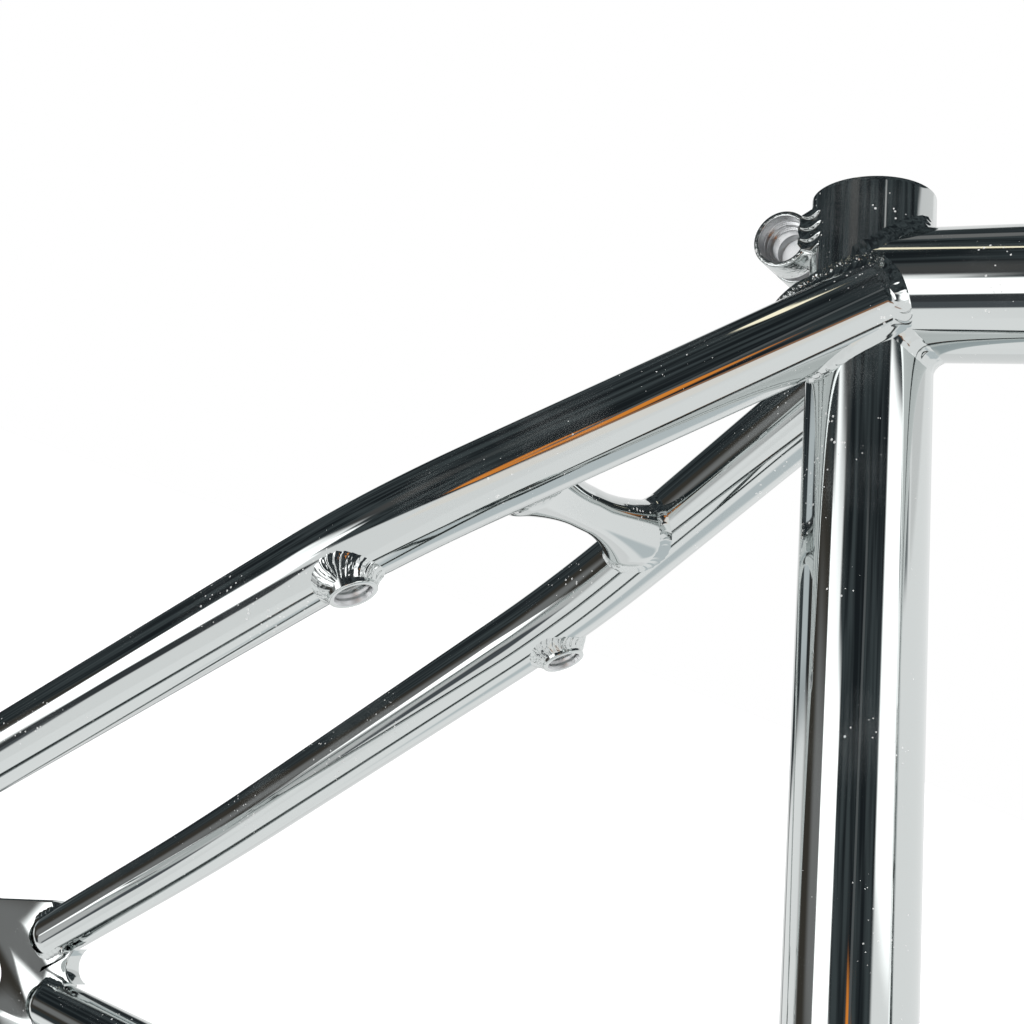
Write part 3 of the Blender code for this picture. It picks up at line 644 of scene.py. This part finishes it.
# ---------- tubes as shapes
seat_line = Tube([SEAT_UP * 0.0, RIM], SEAT_TUBE_R)
top_line = Tube([TOP_TUBE_REAR, TOP_TUBE_FRONT], TOP_TUBE_R)
down_line = Tube([vec(0, 0, 0), DOWN_TUBE_FRONT], DOWN_TUBE_R)
head_line = Tube([HEAD_BOTTOM, HEAD_TOP], HEAD_TUBE_R)
shell_line = Tube([-LEFT * SHELL_WIDTH / 2, LEFT * SHELL_WIDTH / 2], SHELL_R, reference=vec(0, 0, 1))


def stay_direction(splay, side):
    return STAY_DOWN * math.cos(splay) + LEFT * side * math.sin(splay)


def seat_stay_line(side):
    origin = beside_rim(0.0, side * STAY_SIDE, -STAY_BELOW_RIM)
    upper, lower, last = [stay_direction(splay, side) for splay in STAY_SPLAY]
    first_length = STAY_FORWARD / (math.cos(STAY_FALL) * math.cos(STAY_SPLAY[0]))
    bend = origin + upper * STAY_BEND_AT
    tuck = bend + lower * (STAY_TUCK_AT - STAY_BEND_AT)
    run = (AXLE - tuck) @ STAY_DOWN - STAY_END_TO_AXLE
    corners = [origin - upper * first_length, bend, tuck, tuck + last * run]
    path = rounded_path(corners, (STAY_BEND_REACH, STAY_BEND_REACH))
    radii = [STAY_R - STAY_TAPER * max(0.0, np.linalg.norm(p - origin) - STAY_BEND_AT) for p in path]
    return Tube(*domed(path, radii, DOME, STAY_END_DOME))


def chain_stay_line(side):
    corners = [CHAIN_BACK * along + LEFT * side * across for along, across in CHAIN_STAY_CORNERS]
    path = rounded_path(corners, CHAIN_STAY_REACH)
    reach = CHAIN_STAY_CORNERS[-1][0] - CHAIN_STAY_TAPER_FROM
    thin = [min(1.0, max(0.0, (p @ CHAIN_BACK - CHAIN_STAY_TAPER_FROM) / reach)) for p in path]
    radii = [CHAIN_STAY_R_FRONT + (CHAIN_STAY_R_REAR - CHAIN_STAY_R_FRONT) * t for t in thin]
    return Tube(*domed(path, radii, 0.0, STAY_END_DOME))


def bridge_line():
    half = STAY_SIDE + SEAT_BRIDGE_AT * math.sin(STAY_SPLAY[0])
    middle = beside_rim(0, 0, -STAY_BELOW_RIM) + STAY_DOWN * SEAT_BRIDGE_AT * math.cos(STAY_SPLAY[0])
    share = np.linspace(-1, 1, 81)
    flare = (np.abs(share) - SEAT_BRIDGE_PLAIN) / (SEAT_BRIDGE_FULL - SEAT_BRIDGE_PLAIN)
    blend = np.clip(flare, 0, 1) ** SEAT_BRIDGE_CURVE
    wide = SEAT_BRIDGE_R + (SEAT_BRIDGE_FLARE - SEAT_BRIDGE_R) * blend
    high = SEAT_BRIDGE_R + (SEAT_BRIDGE_FLARE_HIGH - SEAT_BRIDGE_R) * blend
    return Tube([middle + LEFT * half * t for t in share], wide, high, reference=STAY_DOWN)


seat_stays = {name: seat_stay_line(side) for name, side in SIDES}
chain_stays = {name: chain_stay_line(side) for name, side in SIDES}
seat_bridge = bridge_line()
chain_middle = CHAIN_BACK * CHAIN_BRIDGE_AT
chain_reach = LEFT * (CHAIN_STAY_CORNERS[1][1] + 0.010)
chain_bridge = Tube([chain_middle - chain_reach, chain_middle + chain_reach], CHAIN_BRIDGE_R,
                    reference=CHAIN_BACK)


# ---------- seat tube with its slotted rim
RIM_EASE = 0.00045  # rounding of the rim's two edges
SLOT_ABOVE_RIM, SLOT_DEPTH = 0.004, 0.005  # how far the slot's cutter stands above the rim, and goes in
RELIEF_REACH = (-0.005, 0.006)  # the round relief at the slot's foot, behind and into the wall


def build_seat_tube():
    """Open at the rim, closed inside the shell's wall, slotted behind for the clamp."""
    bore_scale = SEAT_BORE_R / SEAT_TUBE_R
    feet = [seat_line.meet(shell_line.distance, ANGLES, False, EMBED, scale) for scale in (1.0, bore_scale)]
    shoulder = SEAT_TUBE_LENGTH - RIM_EASE
    quarter = np.linspace(0, math.pi / 2, 5)
    rings = [seat_line.surface(feet[0] * (1 - t) + shoulder * t, ANGLES) for t in shares(60)]
    for turn in quarter[1:]:
        radius = SEAT_TUBE_R - RIM_EASE + RIM_EASE * math.cos(turn)
        rings.append(around_seat(radius, shoulder + RIM_EASE * math.sin(turn)))
    for turn in quarter[::-1]:
        radius = SEAT_BORE_R + RIM_EASE - RIM_EASE * math.cos(turn)
        rings.append(around_seat(radius, shoulder + RIM_EASE * math.sin(turn)))
    for t in shares(30)[1:]:
        rings.append(seat_line.surface(feet[1] * t + shoulder * (1 - t), ANGLES, bore_scale))
    faces = ring_faces(len(rings), ROUND, closed_loop=True)
    tube = make_object("seat_tube_skin", np.concatenate(rings), faces)
    back = beside_rim(-SEAT_TUBE_R, 0, 0)
    foot = back - SEAT_UP * CLAMP_SLOT_LENGTH
    corners = SEAT_FORWARD * np.array([[-1], [1], [1], [-1]]) * SLOT_DEPTH \
        + LEFT * np.array([[-1], [-1], [1], [1]]) * CLAMP_SLOT / 2
    slot = [end + corners for end in (back + SEAT_UP * SLOT_ABOVE_RIM, foot)]
    relief = [around(foot, SEAT_FORWARD, CLAMP_SLOT, reach)[::4] for reach in RELIEF_REACH]
    carve(tube, stack("slot_cutter", slot), stack("relief_cutter", relief))
    return tube


def around_seat(radius, height):
    return seat_line.surface(np.full(ROUND, height), ANGLES, radius / SEAT_TUBE_R)


wear(build_seat_tube(), "tubes", TUBE_CHROME, "seat_tube")


# ---------- top, down and head tubes, bottom bracket shell
def mirrored(corners):
    """The same corners of an outline below its middle, in the order that carries the outline on."""
    return [(radius, -height, rounding) for radius, height, rounding in corners[::-1]]


def build_head_tube():
    """A tube with a thicker cup at each end, and a seat for a bearing in each cup."""
    top = HEAD_TUBE_LENGTH / 2
    blend = top - HEAD_CUP_HEIGHT
    seat = top - BEARING_SEAT_DEPTH
    outer = [(BEARING_SEAT_R, top, 0.0004), (HEAD_CUP_R, top, 0.0008), (HEAD_CUP_R, blend, 0.0016),
             (HEAD_TUBE_R, blend - HEAD_CUP_BLEND, 0.0020)]
    inner = [(HEAD_BORE_R, seat - BEARING_SEAT_R + HEAD_BORE_R, 0.0004), (BEARING_SEAT_R, seat, 0.0004)]
    outline = outer + mirrored(outer) + mirrored(inner) + inner
    return lathe("head_tube_skin", outline, (HEAD_TOP + HEAD_BOTTOM) / 2, HEAD_UP)


def thread(bore_r, turns, mouth, pitch, half_pitch, rise, fall, ease=0.0):
    """Corners of a threaded bore from its mouth inwards, rising in from the bore and falling out of it."""
    corners = []
    for k in range(turns):
        at = mouth - k * pitch
        corners += [(bore_r - rise, at, ease), (bore_r + fall, at - half_pitch, ease)]
    return corners


def build_shell():
    """The bottom bracket shell, threaded inwards from both of its faces."""
    face = SHELL_WIDTH / 2
    outer = [(SHELL_BORE_R + 0.0010, face, 0.0003), (SHELL_R, face, 0.0012)]
    bore = thread(SHELL_BORE_R, 24, face - 0.0014, 0.00105, 0.00052, 0.00018, 0.00032)
    bore = [(SHELL_BORE_R, 0.004, 0.0)] + bore[::-1]
    outline = outer + mirrored(outer) + mirrored(bore) + bore
    return lathe("bottom_bracket_shell_skin", outline, vec(0, 0, 0), LEFT, sharp=50)


wear(tube_object("top_tube_skin", top_line, seat_line.distance, head_line.distance), "tubes", TUBE_CHROME,
     "top_tube")
wear(tube_object("down_tube_skin", down_line, union(shell_line, seat_line), head_line.distance), "tubes",
     TUBE_CHROME, "down_tube")
wear(build_head_tube(), "shells", FITTING_CHROME, "head_tube")
wear(build_shell(), "shells", FITTING_CHROME, "bottom_bracket_shell")

TUBE_BEAD = 0.0034  # reach of a bead on each of the tubes it joins
TUBE_WELDS = (
    ("top_to_seat", top_line, seat_line.distance, False, 0.0030, {"ripple": 0.00014}),
    ("top_to_head", top_line, head_line.distance, True, TUBE_BEAD, {}),
    ("down_to_head", down_line, head_line.distance, True, TUBE_BEAD, {}),
    ("down_to_shell", down_line, union(shell_line, seat_line), False, TUBE_BEAD, {}),
    ("seat_to_shell", seat_line, shell_line.distance, False, TUBE_BEAD, {"sink": 0.0004}),
)
for seed, (name, tube, others, at_end, width, shape) in enumerate(TUBE_WELDS, start=1):
    wear(mitre_weld("weld_" + name, tube, others, at_end, width, seed=seed, **shape), "tubes", BEAD_CHROME)

# ---------- stays
cluster = union(seat_line, top_line)
for count, (name, side) in enumerate(SIDES):
    seat_stay, chain_stay = seat_stays[name], chain_stays[name]
    wear(tube_object("seat_stay_skin_" + name, seat_stay, cluster, rings=150), "stays", STAY_CHROME,
         "seat_stay_" + name)
    wear(tube_object("chain_stay_skin_" + name, chain_stay, shell_line.distance, rings=130), "stays",
         STAY_CHROME, "chain_stay_" + name)
    wear(cluster_weld("weld_seat_stay_" + name, seat_stay, side, 10 + count), "stays", BEAD_CHROME)
    wear(rough_weld("weld_rough_" + name, seat_stay, side, 50 + count), "stays", ROUGH_BEAD)
    wear(mitre_weld("weld_chain_stay_" + name, chain_stay, shell_line.distance, False, 0.0030,
                    seed=12 + count), "stays", BEAD_CHROME)
    for place, sign in (("outer", 1.0), ("inner", -1.0)):
        face = side * (DROPOUT_SPACING + DROPOUT_THICKNESS * (1 + sign)) / 2
        for kind, stay in (("seat", seat_stay), ("chain", chain_stay)):
            wear(edge_weld(f"weld_dropout_{kind}_{place}_{name}", stay, side * sign, face,
                           stay.length - STAY_SLOT_DEPTH, 0.0017, seed=20 + count), "dropouts", BEAD_CHROME)

# ---------- bridges
both_seat_stays = union(*seat_stays.values())
both_chain_stays = union(*chain_stays.values())
wear(tube_object("seat_stay_bridge_skin", seat_bridge, both_seat_stays, both_seat_stays, rings=120),
     "bridges", STAY_CHROME, "seat_stay_bridge")
wear(tube_object("chain_stay_bridge_skin", chain_bridge, both_chain_stays, both_chain_stays, rings=30),
     "bridges", STAY_CHROME, "chain_stay_bridge")
for count, (name, side) in enumerate(SIDES):
    at_end = side > 0
    wear(mitre_weld("weld_seat_bridge_" + name, seat_bridge, both_seat_stays, at_end, 0.0023, ripple=0.00008,
                    bulge=0.6, seed=30 + count), "bridges", BEAD_CHROME)
    wear(mitre_weld("weld_chain_bridge_" + name, chain_bridge, both_chain_stays, at_end, 0.0024,
                    seed=32 + count), "bridges", BEAD_CHROME)


# ---------- brake bosses
def line_bore(obj, middle, axis, radius):
    """Give the faces close to an axis the satin look of a machined bore."""
    obj.data.materials.append(SATIN_STEEL)
    for face in obj.data.polygons:
        offset = np.array(face.center) + np.array(obj.location) - middle
        face.material_index = int(np.linalg.norm(offset - axis * (offset @ axis)) < radius)


BOSS_SUNK, BOSS_THREAD_DEPTH = 0.0010, 0.0005
BOSS_CORE_R = 0.0004  # the closed floor's outline stops this far from the axis


def build_boss(name, side, seed):
    """A threaded boss let into the underside of a seat stay, and its bead."""
    origin = beside_rim(0.0, side * STAY_SIDE, -STAY_BELOW_RIM)
    along = math.cos(STAY_SPLAY[0]) * STAY_BEND_AT + math.cos(STAY_SPLAY[1]) * (BOSS_AT - STAY_BEND_AT)
    foot = origin + STAY_DOWN * along
    foot[1] = side * BOSS_SIDE
    floor = BOSS_FACE - BOSS_HOLE_DEPTH
    bore = thread(BOSS_HOLE_R, 5, BOSS_FACE - 0.0011, 0.0016, 0.0008, 0.00005, BOSS_THREAD_DEPTH, 0.0002)
    outline = [(BOSS_HOLE_R + BOSS_THREAD_DEPTH, BOSS_FACE, 0.0002), (BOSS_R, BOSS_FACE, 0.0005),
               (BOSS_R, -BOSS_SUNK, 0.0), (BOSS_CORE_R, -BOSS_SUNK, 0.0), (BOSS_CORE_R, floor - 0.0012, 0.0),
               (BOSS_HOLE_R, floor, 0.0)] + bore[::-1]
    boss = wear(lathe("brake_boss_skin_" + name, outline, foot, STAY_UNDER), "bosses", FITTING_CHROME,
                "brake_boss_" + name)
    line_bore(boss, foot, STAY_UNDER, BOSS_HOLE_R + 0.0006)
    boss_line = Tube([foot + STAY_UNDER * BOSS_FACE, foot], BOSS_R)
    wear(boss_weld("weld_boss_" + name, boss_line, seat_stays[name], seed), "bosses", BEAD_CHROME)


for count, (name, side) in enumerate(SIDES):
    build_boss(name, side, 40 + count)


# ---------- drop-outs
def rounded_outline(corners, steps=9):
    """Round each corner (x, z, radius) of a closed outline with an arc."""
    outline = []
    for i, (x, z, radius) in enumerate(corners):
        corner = vec(x, z)
        before = unit(vec(*corners[i - 1][:2]) - corner)
        after = unit(vec(*corners[(i + 1) % len(corners)][:2]) - corner)
        half = math.acos(np.clip(before @ after, -1, 1)) / 2
        centre = corner + unit(before + after) * radius / math.sin(half)
        start = corner + before * radius / math.tan(half) - centre
        end = corner + after * radius / math.tan(half) - centre
        turn = math.atan2(start[0] * end[1] - start[1] * end[0], start @ end)
        for t in np.linspace(0, turn, steps):
            outline.append(centre + vec(start[0] * math.cos(t) - start[1] * math.sin(t),
                                        start[0] * math.sin(t) + start[1] * math.cos(t)))
    return outline


def flat(v):
    return vec(v[0], v[2])


WEB_REACH = 0.0290  # from the axle to the plate's edge between its two arms
AXLE_SLOT_ROUND = 0.999  # rounding of the slot's closed end, as a share of its half height


def dropout_outline():
    """Plate around the axle slot, with an arm to each stay; x forward and z up from the axle."""
    stay_end = AXLE - STAY_DOWN * (STAY_END_TO_AXLE + STAY_SLOT_DEPTH)
    offset = (beside_rim(0, 0, -STAY_BELOW_RIM) - AXLE) @ STAY_UNDER
    seat_end = flat(stay_end + STAY_UNDER * offset - AXLE)
    chain_end = -flat(CHAIN_BACK) * (np.linalg.norm(AXLE) - CHAIN_STAY_CORNERS[-1][0] + STAY_SLOT_DEPTH)
    across_chain, across_seat = flat(CHAIN_UP) * DROPOUT_ARM_R, flat(STAY_UNDER) * DROPOUT_ARM_R
    web = unit(unit(seat_end) + unit(chain_end)) * WEB_REACH
    points = [(chain_end - across_chain, 0.002), (chain_end + across_chain, 0.002), (web, 0.006),
              (seat_end + across_seat, 0.002), (seat_end - across_seat, 0.002)]
    corners = [(*point, radius) for point, radius in points]
    back, slot, front = -AXLE_SLOT_BACK, AXLE_SLOT_R, AXLE_SLOT_FRONT
    corners += [(-0.0100, 0.0230, 0.012), (back, 0.0185, 0.006), (back, slot, 0.0015),
                (front + slot, slot, slot * AXLE_SLOT_ROUND), (front + slot, -slot, slot * AXLE_SLOT_ROUND),
                (back, -slot, 0.0015), (back, -0.0185, 0.006), (0.0100, -0.0225, 0.014)]
    return rounded_outline(corners)


for name, side in SIDES:
    centre = AXLE + LEFT * side * (DROPOUT_SPACING + DROPOUT_THICKNESS) / 2
    wear(plate("dropout_skin_" + name, dropout_outline(), DROPOUT_THICKNESS, centre, vec(1, 0, 0),
               vec(0, 0, 1), 0.0005), "dropouts", FITTING_CHROME, "dropout_" + name)

# ---------- seat clamp
# the neck's outline, forward and up from the middle of the rim, above and below its arc round the barrel
NECK_TOP = ((-0.0096, -0.0009), (-0.0106, -0.0011), (-0.0113, -0.0024), (-0.0122, -0.0040),
            (-0.0132, -0.0049), (-0.0144, -0.0050), (-0.0152, -0.0046))
NECK_BOTTOM = ((-0.0146, -0.0156), (-0.0134, -0.0149), (-0.0122, -0.0149), (-0.0110, -0.0157),
               (-0.0096, -0.0165))
CLAMP_FLOOR_DEPTH = {"right": CLAMP_COUNTERBORE_DEPTH - 0.0010, "left": 0.0012}
NECK_ARC_R, NECK_ARC = 0.00645, (58, -56)  # the arc, in degrees, stays inside the barrel's wall
NECK_BORE_R = 0.0135  # the neck ends in the middle of the seat tube's wall
CLAMP_BEAD_FOOT, CLAMP_BEAD_TOP = -0.0152, -0.0040
CLAMP_BEAD_WIDTH = (0.0038, 0.0030)


def build_clamp_ear(name, side):
    """A barrel with a stepped counterbore, and the concave neck that joins it to the seat tube."""
    inner_face = CLAMP_SLOT / 2
    width = CLAMP_HALF_WIDTH - inner_face
    floor = width - CLAMP_FLOOR_DEPTH[name]
    step_r, step = CLAMP_BORE_R + 0.0008, floor - 0.0014
    middle = beside_rim(-CLAMP_BACK, side * inner_face, -CLAMP_BELOW_RIM)
    outline = [(CLAMP_COUNTERBORE_R, width, 0.0003), (CLAMP_R, width, 0.0005), (CLAMP_R, 0.0, 0.0004),
               (CLAMP_BORE_R, 0.0, 0.0003), (CLAMP_BORE_R, step, 0.0002), (step_r, step, 0.0002),
               (step_r, floor, 0.0002), (CLAMP_COUNTERBORE_R, floor, 0.0002)]
    barrel = wear(lathe("seat_clamp_barrel_" + name, outline, middle, LEFT * side), "clamp", LUG_CHROME,
                  "seat_clamp_ear_" + name)
    line_bore(barrel, middle, LEFT, CLAMP_COUNTERBORE_R + 0.0001)
    arc = [(-CLAMP_BACK + NECK_ARC_R * math.cos(turn), -CLAMP_BELOW_RIM + NECK_ARC_R * math.sin(turn))
           for turn in np.radians(np.linspace(*NECK_ARC, 9))]
    depth = width - 0.0005
    neck = plate("seat_clamp_neck_" + name, list(NECK_TOP) + arc + list(NECK_BOTTOM), depth,
                 beside_rim(0, side * (inner_face + depth / 2), 0), SEAT_FORWARD, SEAT_UP, 0.0003)
    bore = [around_seat(NECK_BORE_R, SEAT_TUBE_LENGTH + past_rim) for past_rim in (-0.03, 0.01)]
    carve(neck, stack("neck_cutter", bore))
    wear(neck, "clamp", BEAD_CHROME)
    face = CLAMP_HALF_WIDTH + 0.0002
    back = -math.sqrt(SEAT_TUBE_R ** 2 - face ** 2)
    heights = np.linspace(CLAMP_BEAD_FOOT, CLAMP_BEAD_TOP, 150)
    points = np.array([beside_rim(back, side * face, up) for up in heights])
    bead = weld_bead("weld_clamp_" + name, points, lambda p: p @ LEFT * side - face, seat_line.distance,
                     CLAMP_BEAD_WIDTH, closed=False, bulge=1.0, ripple=0.00085, seed=60, pitch=0.0029)
    wear(bead, "clamp", BEAD_CHROME)


for name, side in SIDES:
    build_clamp_ear(name, side)


# ---------- world, floor and camera
def card_mask(tree, azimuth, elevation, west, east, low, high, soft_az, soft_el):
    """How much of a soft rectangle of directions is seen in each direction."""
    above = remap(tree, elevation, low - soft_el / 2, low + soft_el / 2, 0, 1)
    below = remap(tree, elevation, high - soft_el / 2, high + soft_el / 2, 1, 0)
    mask = compute(tree, "MULTIPLY", above, below)
    if east - west < 360:
        shifted = compute(tree, "SUBTRACT", azimuth, (west + east) / 2)
        away = compute(tree, "ABSOLUTE", compute(tree, "WRAP", shifted, 180.0, -180.0))
        half = (east - west) / 2
        beside = remap(tree, away, half - soft_az / 2, half + soft_az / 2, 1, 0)
        mask = compute(tree, "MULTIPLY", mask, beside)
    return mask


def build_world():
    """A dark, uneven room with soft cards of light, which the camera itself sees as plain white."""
    world = bpy.data.worlds.new("studio")
    bpy.context.scene.world = world
    world.use_nodes = True
    tree = world.node_tree
    tree.nodes.clear()
    direction = tree.nodes.new("ShaderNodeTexCoord").outputs["Generated"]
    split = tree.nodes.new("ShaderNodeSeparateXYZ")
    tree.links.new(direction, split.inputs[0])
    x, y, z = split.outputs
    azimuth = compute(tree, "MULTIPLY", compute(tree, "ARCTAN2", y, x), 180 / math.pi)
    elevation = compute(tree, "MULTIPLY", compute(tree, "ARCSINE", z), 180 / math.pi)
    room = noise(tree, direction, 7.0, 4.0)
    lit = mix(tree, remap(tree, room, 0.35, 0.65, 0, 1), ROOM_DARK, ROOM_LIGHT)
    for *span, color, strength in CARDS:
        mask = card_mask(tree, azimuth, elevation, *span)
        lit = mix(tree, mask, lit, tuple(channel * strength for channel in color))
    seen = tree.nodes.new("ShaderNodeLightPath").outputs["Is Camera Ray"]
    background = tree.nodes.new("ShaderNodeBackground")
    tree.links.new(mix(tree, seen, lit, WHITE), background.inputs["Color"])
    output = tree.nodes.new("ShaderNodeOutputWorld")
    tree.links.new(background.outputs[0], output.inputs["Surface"])


ROOM_DARK, ROOM_LIGHT = (0.014, 0.018, 0.021), (0.060, 0.073, 0.078)
WHITE, GREY = (1.0, 1.0, 1.0), (0.90, 0.97, 1.0)
ORANGE, WARM = (1.0, 0.33, 0.05), (1.0, 0.95, 0.90)
CARDS = (
    # azimuth from, to, elevation from, to, softness across, softness up, colour, strength
    (-180, 180, -90, -42, 4, 6, WHITE, 1.02),  # floor
    (-102, -30, -60, -10, 12, 3, WHITE, 0.95),  # floor sweep at the right front
    (-70, -40, -22, -9, 6, 4, WARM, 1.0),
    (-36, 105, -60, 36, 6, 2, WHITE, 1.0),  # backdrop in front and to the left
    (15, 75, -60, -31, 10, 6, GREY, 0.72),
    (20, 105, 30, 42, 5, 2, WHITE, 0.80),
    (-36, -4, 17, 36, 5, 3, WHITE, 1.9),  # front lamp box
    (-4, 0, -8, 36, 1.0, 2, WHITE, 1.3),
    (1.6, 4.6, -8, 34, 1.6, 2, (0.38, 0.39, 0.41), 1.0),  # its stand
    (-5, 15, 30, 37, 5, 2, GREY, 0.24),
    (-59, -56, 34, 37.5, 1.5, 3, WHITE, 0.5),
    (95, 137, -45, 46, 6, 3, WHITE, 0.88),  # backdrop behind
    (141, 197, -45, -12, 8, 3, WHITE, 1.0),
    (166, 184, -12, 0, 4, 5, GREY, 0.66),
    (-170, -128, -30, 1, 14, 6, (0.95, 0.85, 0.72), 0.055),
    (-148, -128, -20, -5, 12, 8, WHITE, 0.22),
    (-130, -103, -22, 3, 3, 5, WHITE, 2.4),  # tall strip box
    (-127, -110, 1, 10, 4, 5, WHITE, 1.6),
    (-125, -99, -21, -9, 4, 5, WHITE, 2.0),
    (-120, -106, 9, 28, 8, 16, WHITE, 0.08),
    (-129, -110, -44, -22, 4, 10, WHITE, 0.62),
    (-108, -87, -34, -21, 3, 3, (0.05, 0.055, 0.06), 1.0),
    (-112, -97, -43, -33, 4, 3, (0.09, 0.10, 0.11), 1.0),
    (-75, -61, -6, 3.5, 3, 2, ORANGE, 0.95),  # wooden door
    (-63, -28, -9.5, -6.5, 3, 1.2, (1.0, 0.50, 0.28), 0.36),
    (-71, -67.5, -2, 22, 1.2, 4, GREY, 0.13),  # its frame
    (-157, -133, 49.6, 51.8, 4, 0.7, (1.0, 0.90, 0.68), 1.5),  # a lit tube under the roof
    (160, 180, 56.5, 62, 6, 1.5, WHITE, 0.20),
)

build_world()

SCENE = bpy.context.scene
SCENE.view_settings.view_transform = "Standard"

FLOOR_REACH, FLOOR_BELOW = 8.0, 0.001  # half the paper's width, and the gap under the frame
PAPER, PAPER_LIGHT = (0.90, 0.90, 0.90), (0.94, 0.94, 0.94)
LAMP_SPREAD, LAMP_ENERGY = math.radians(100), 3.6

floor_mesh = bpy.data.meshes.new("floor")
corners = [(x * FLOOR_REACH, y * FLOOR_REACH, 0) for x, y in ((-1, -1), (1, -1), (1, 1), (-1, 1))]
floor_mesh.from_pydata(corners, [], [(0, 1, 2, 3)])
floor = bpy.data.objects.new("floor", floor_mesh)
floor.location = (0, 0, min(corner[2] for corner in CAD_BOX) - FLOOR_BELOW)
SCENE.collection.objects.link(floor)
paper, paper_tree, paper_shader = new_material("floor_paper", PAPER, 0.0, 0.9)
paper_place = paper_tree.nodes.new("ShaderNodeTexCoord").outputs["Object"]
shade = mix(paper_tree, noise(paper_tree, paper_place, 3.0, 4.0), PAPER, PAPER_LIGHT)
paper_tree.links.new(shade, paper_shader.inputs["Base Color"])
floor_mesh.materials.append(paper)
floor.visible_glossy = False

lamp_data = bpy.data.lights.new("overhead", "SUN")
lamp_data.angle, lamp_data.energy = LAMP_SPREAD, LAMP_ENERGY
lamp = bpy.data.objects.new("overhead", lamp_data)
lamp.visible_glossy = False
SCENE.collection.objects.link(lamp)

CAMERA_PLACE = beside_rim(0.122463, -0.334014, -0.162623)
CAMERA_RIGHT = SEAT_FORWARD * 0.846817 + LEFT * 0.525818 + SEAT_UP * 0.0801
CAMERA_DOWN = SEAT_FORWARD * -0.054024 + LEFT * 0.234848 + SEAT_UP * -0.97053
CAMERA_AHEAD = SEAT_FORWARD * -0.529133 + LEFT * 0.817534 + SEAT_UP * 0.22728
camera_data = bpy.data.cameras.new("camera")
camera_data.lens, camera_data.sensor_width = 56.17, 36.0
camera_data.clip_start = 0.02
camera = bpy.data.objects.new("camera", camera_data)
turn = Matrix((CAMERA_RIGHT, -CAMERA_DOWN, -CAMERA_AHEAD)).transposed()
camera.matrix_world = Matrix.Translation(CAMERA_PLACE) @ turn.to_4x4()
SCENE.collection.objects.link(camera)
SCENE.camera = camera
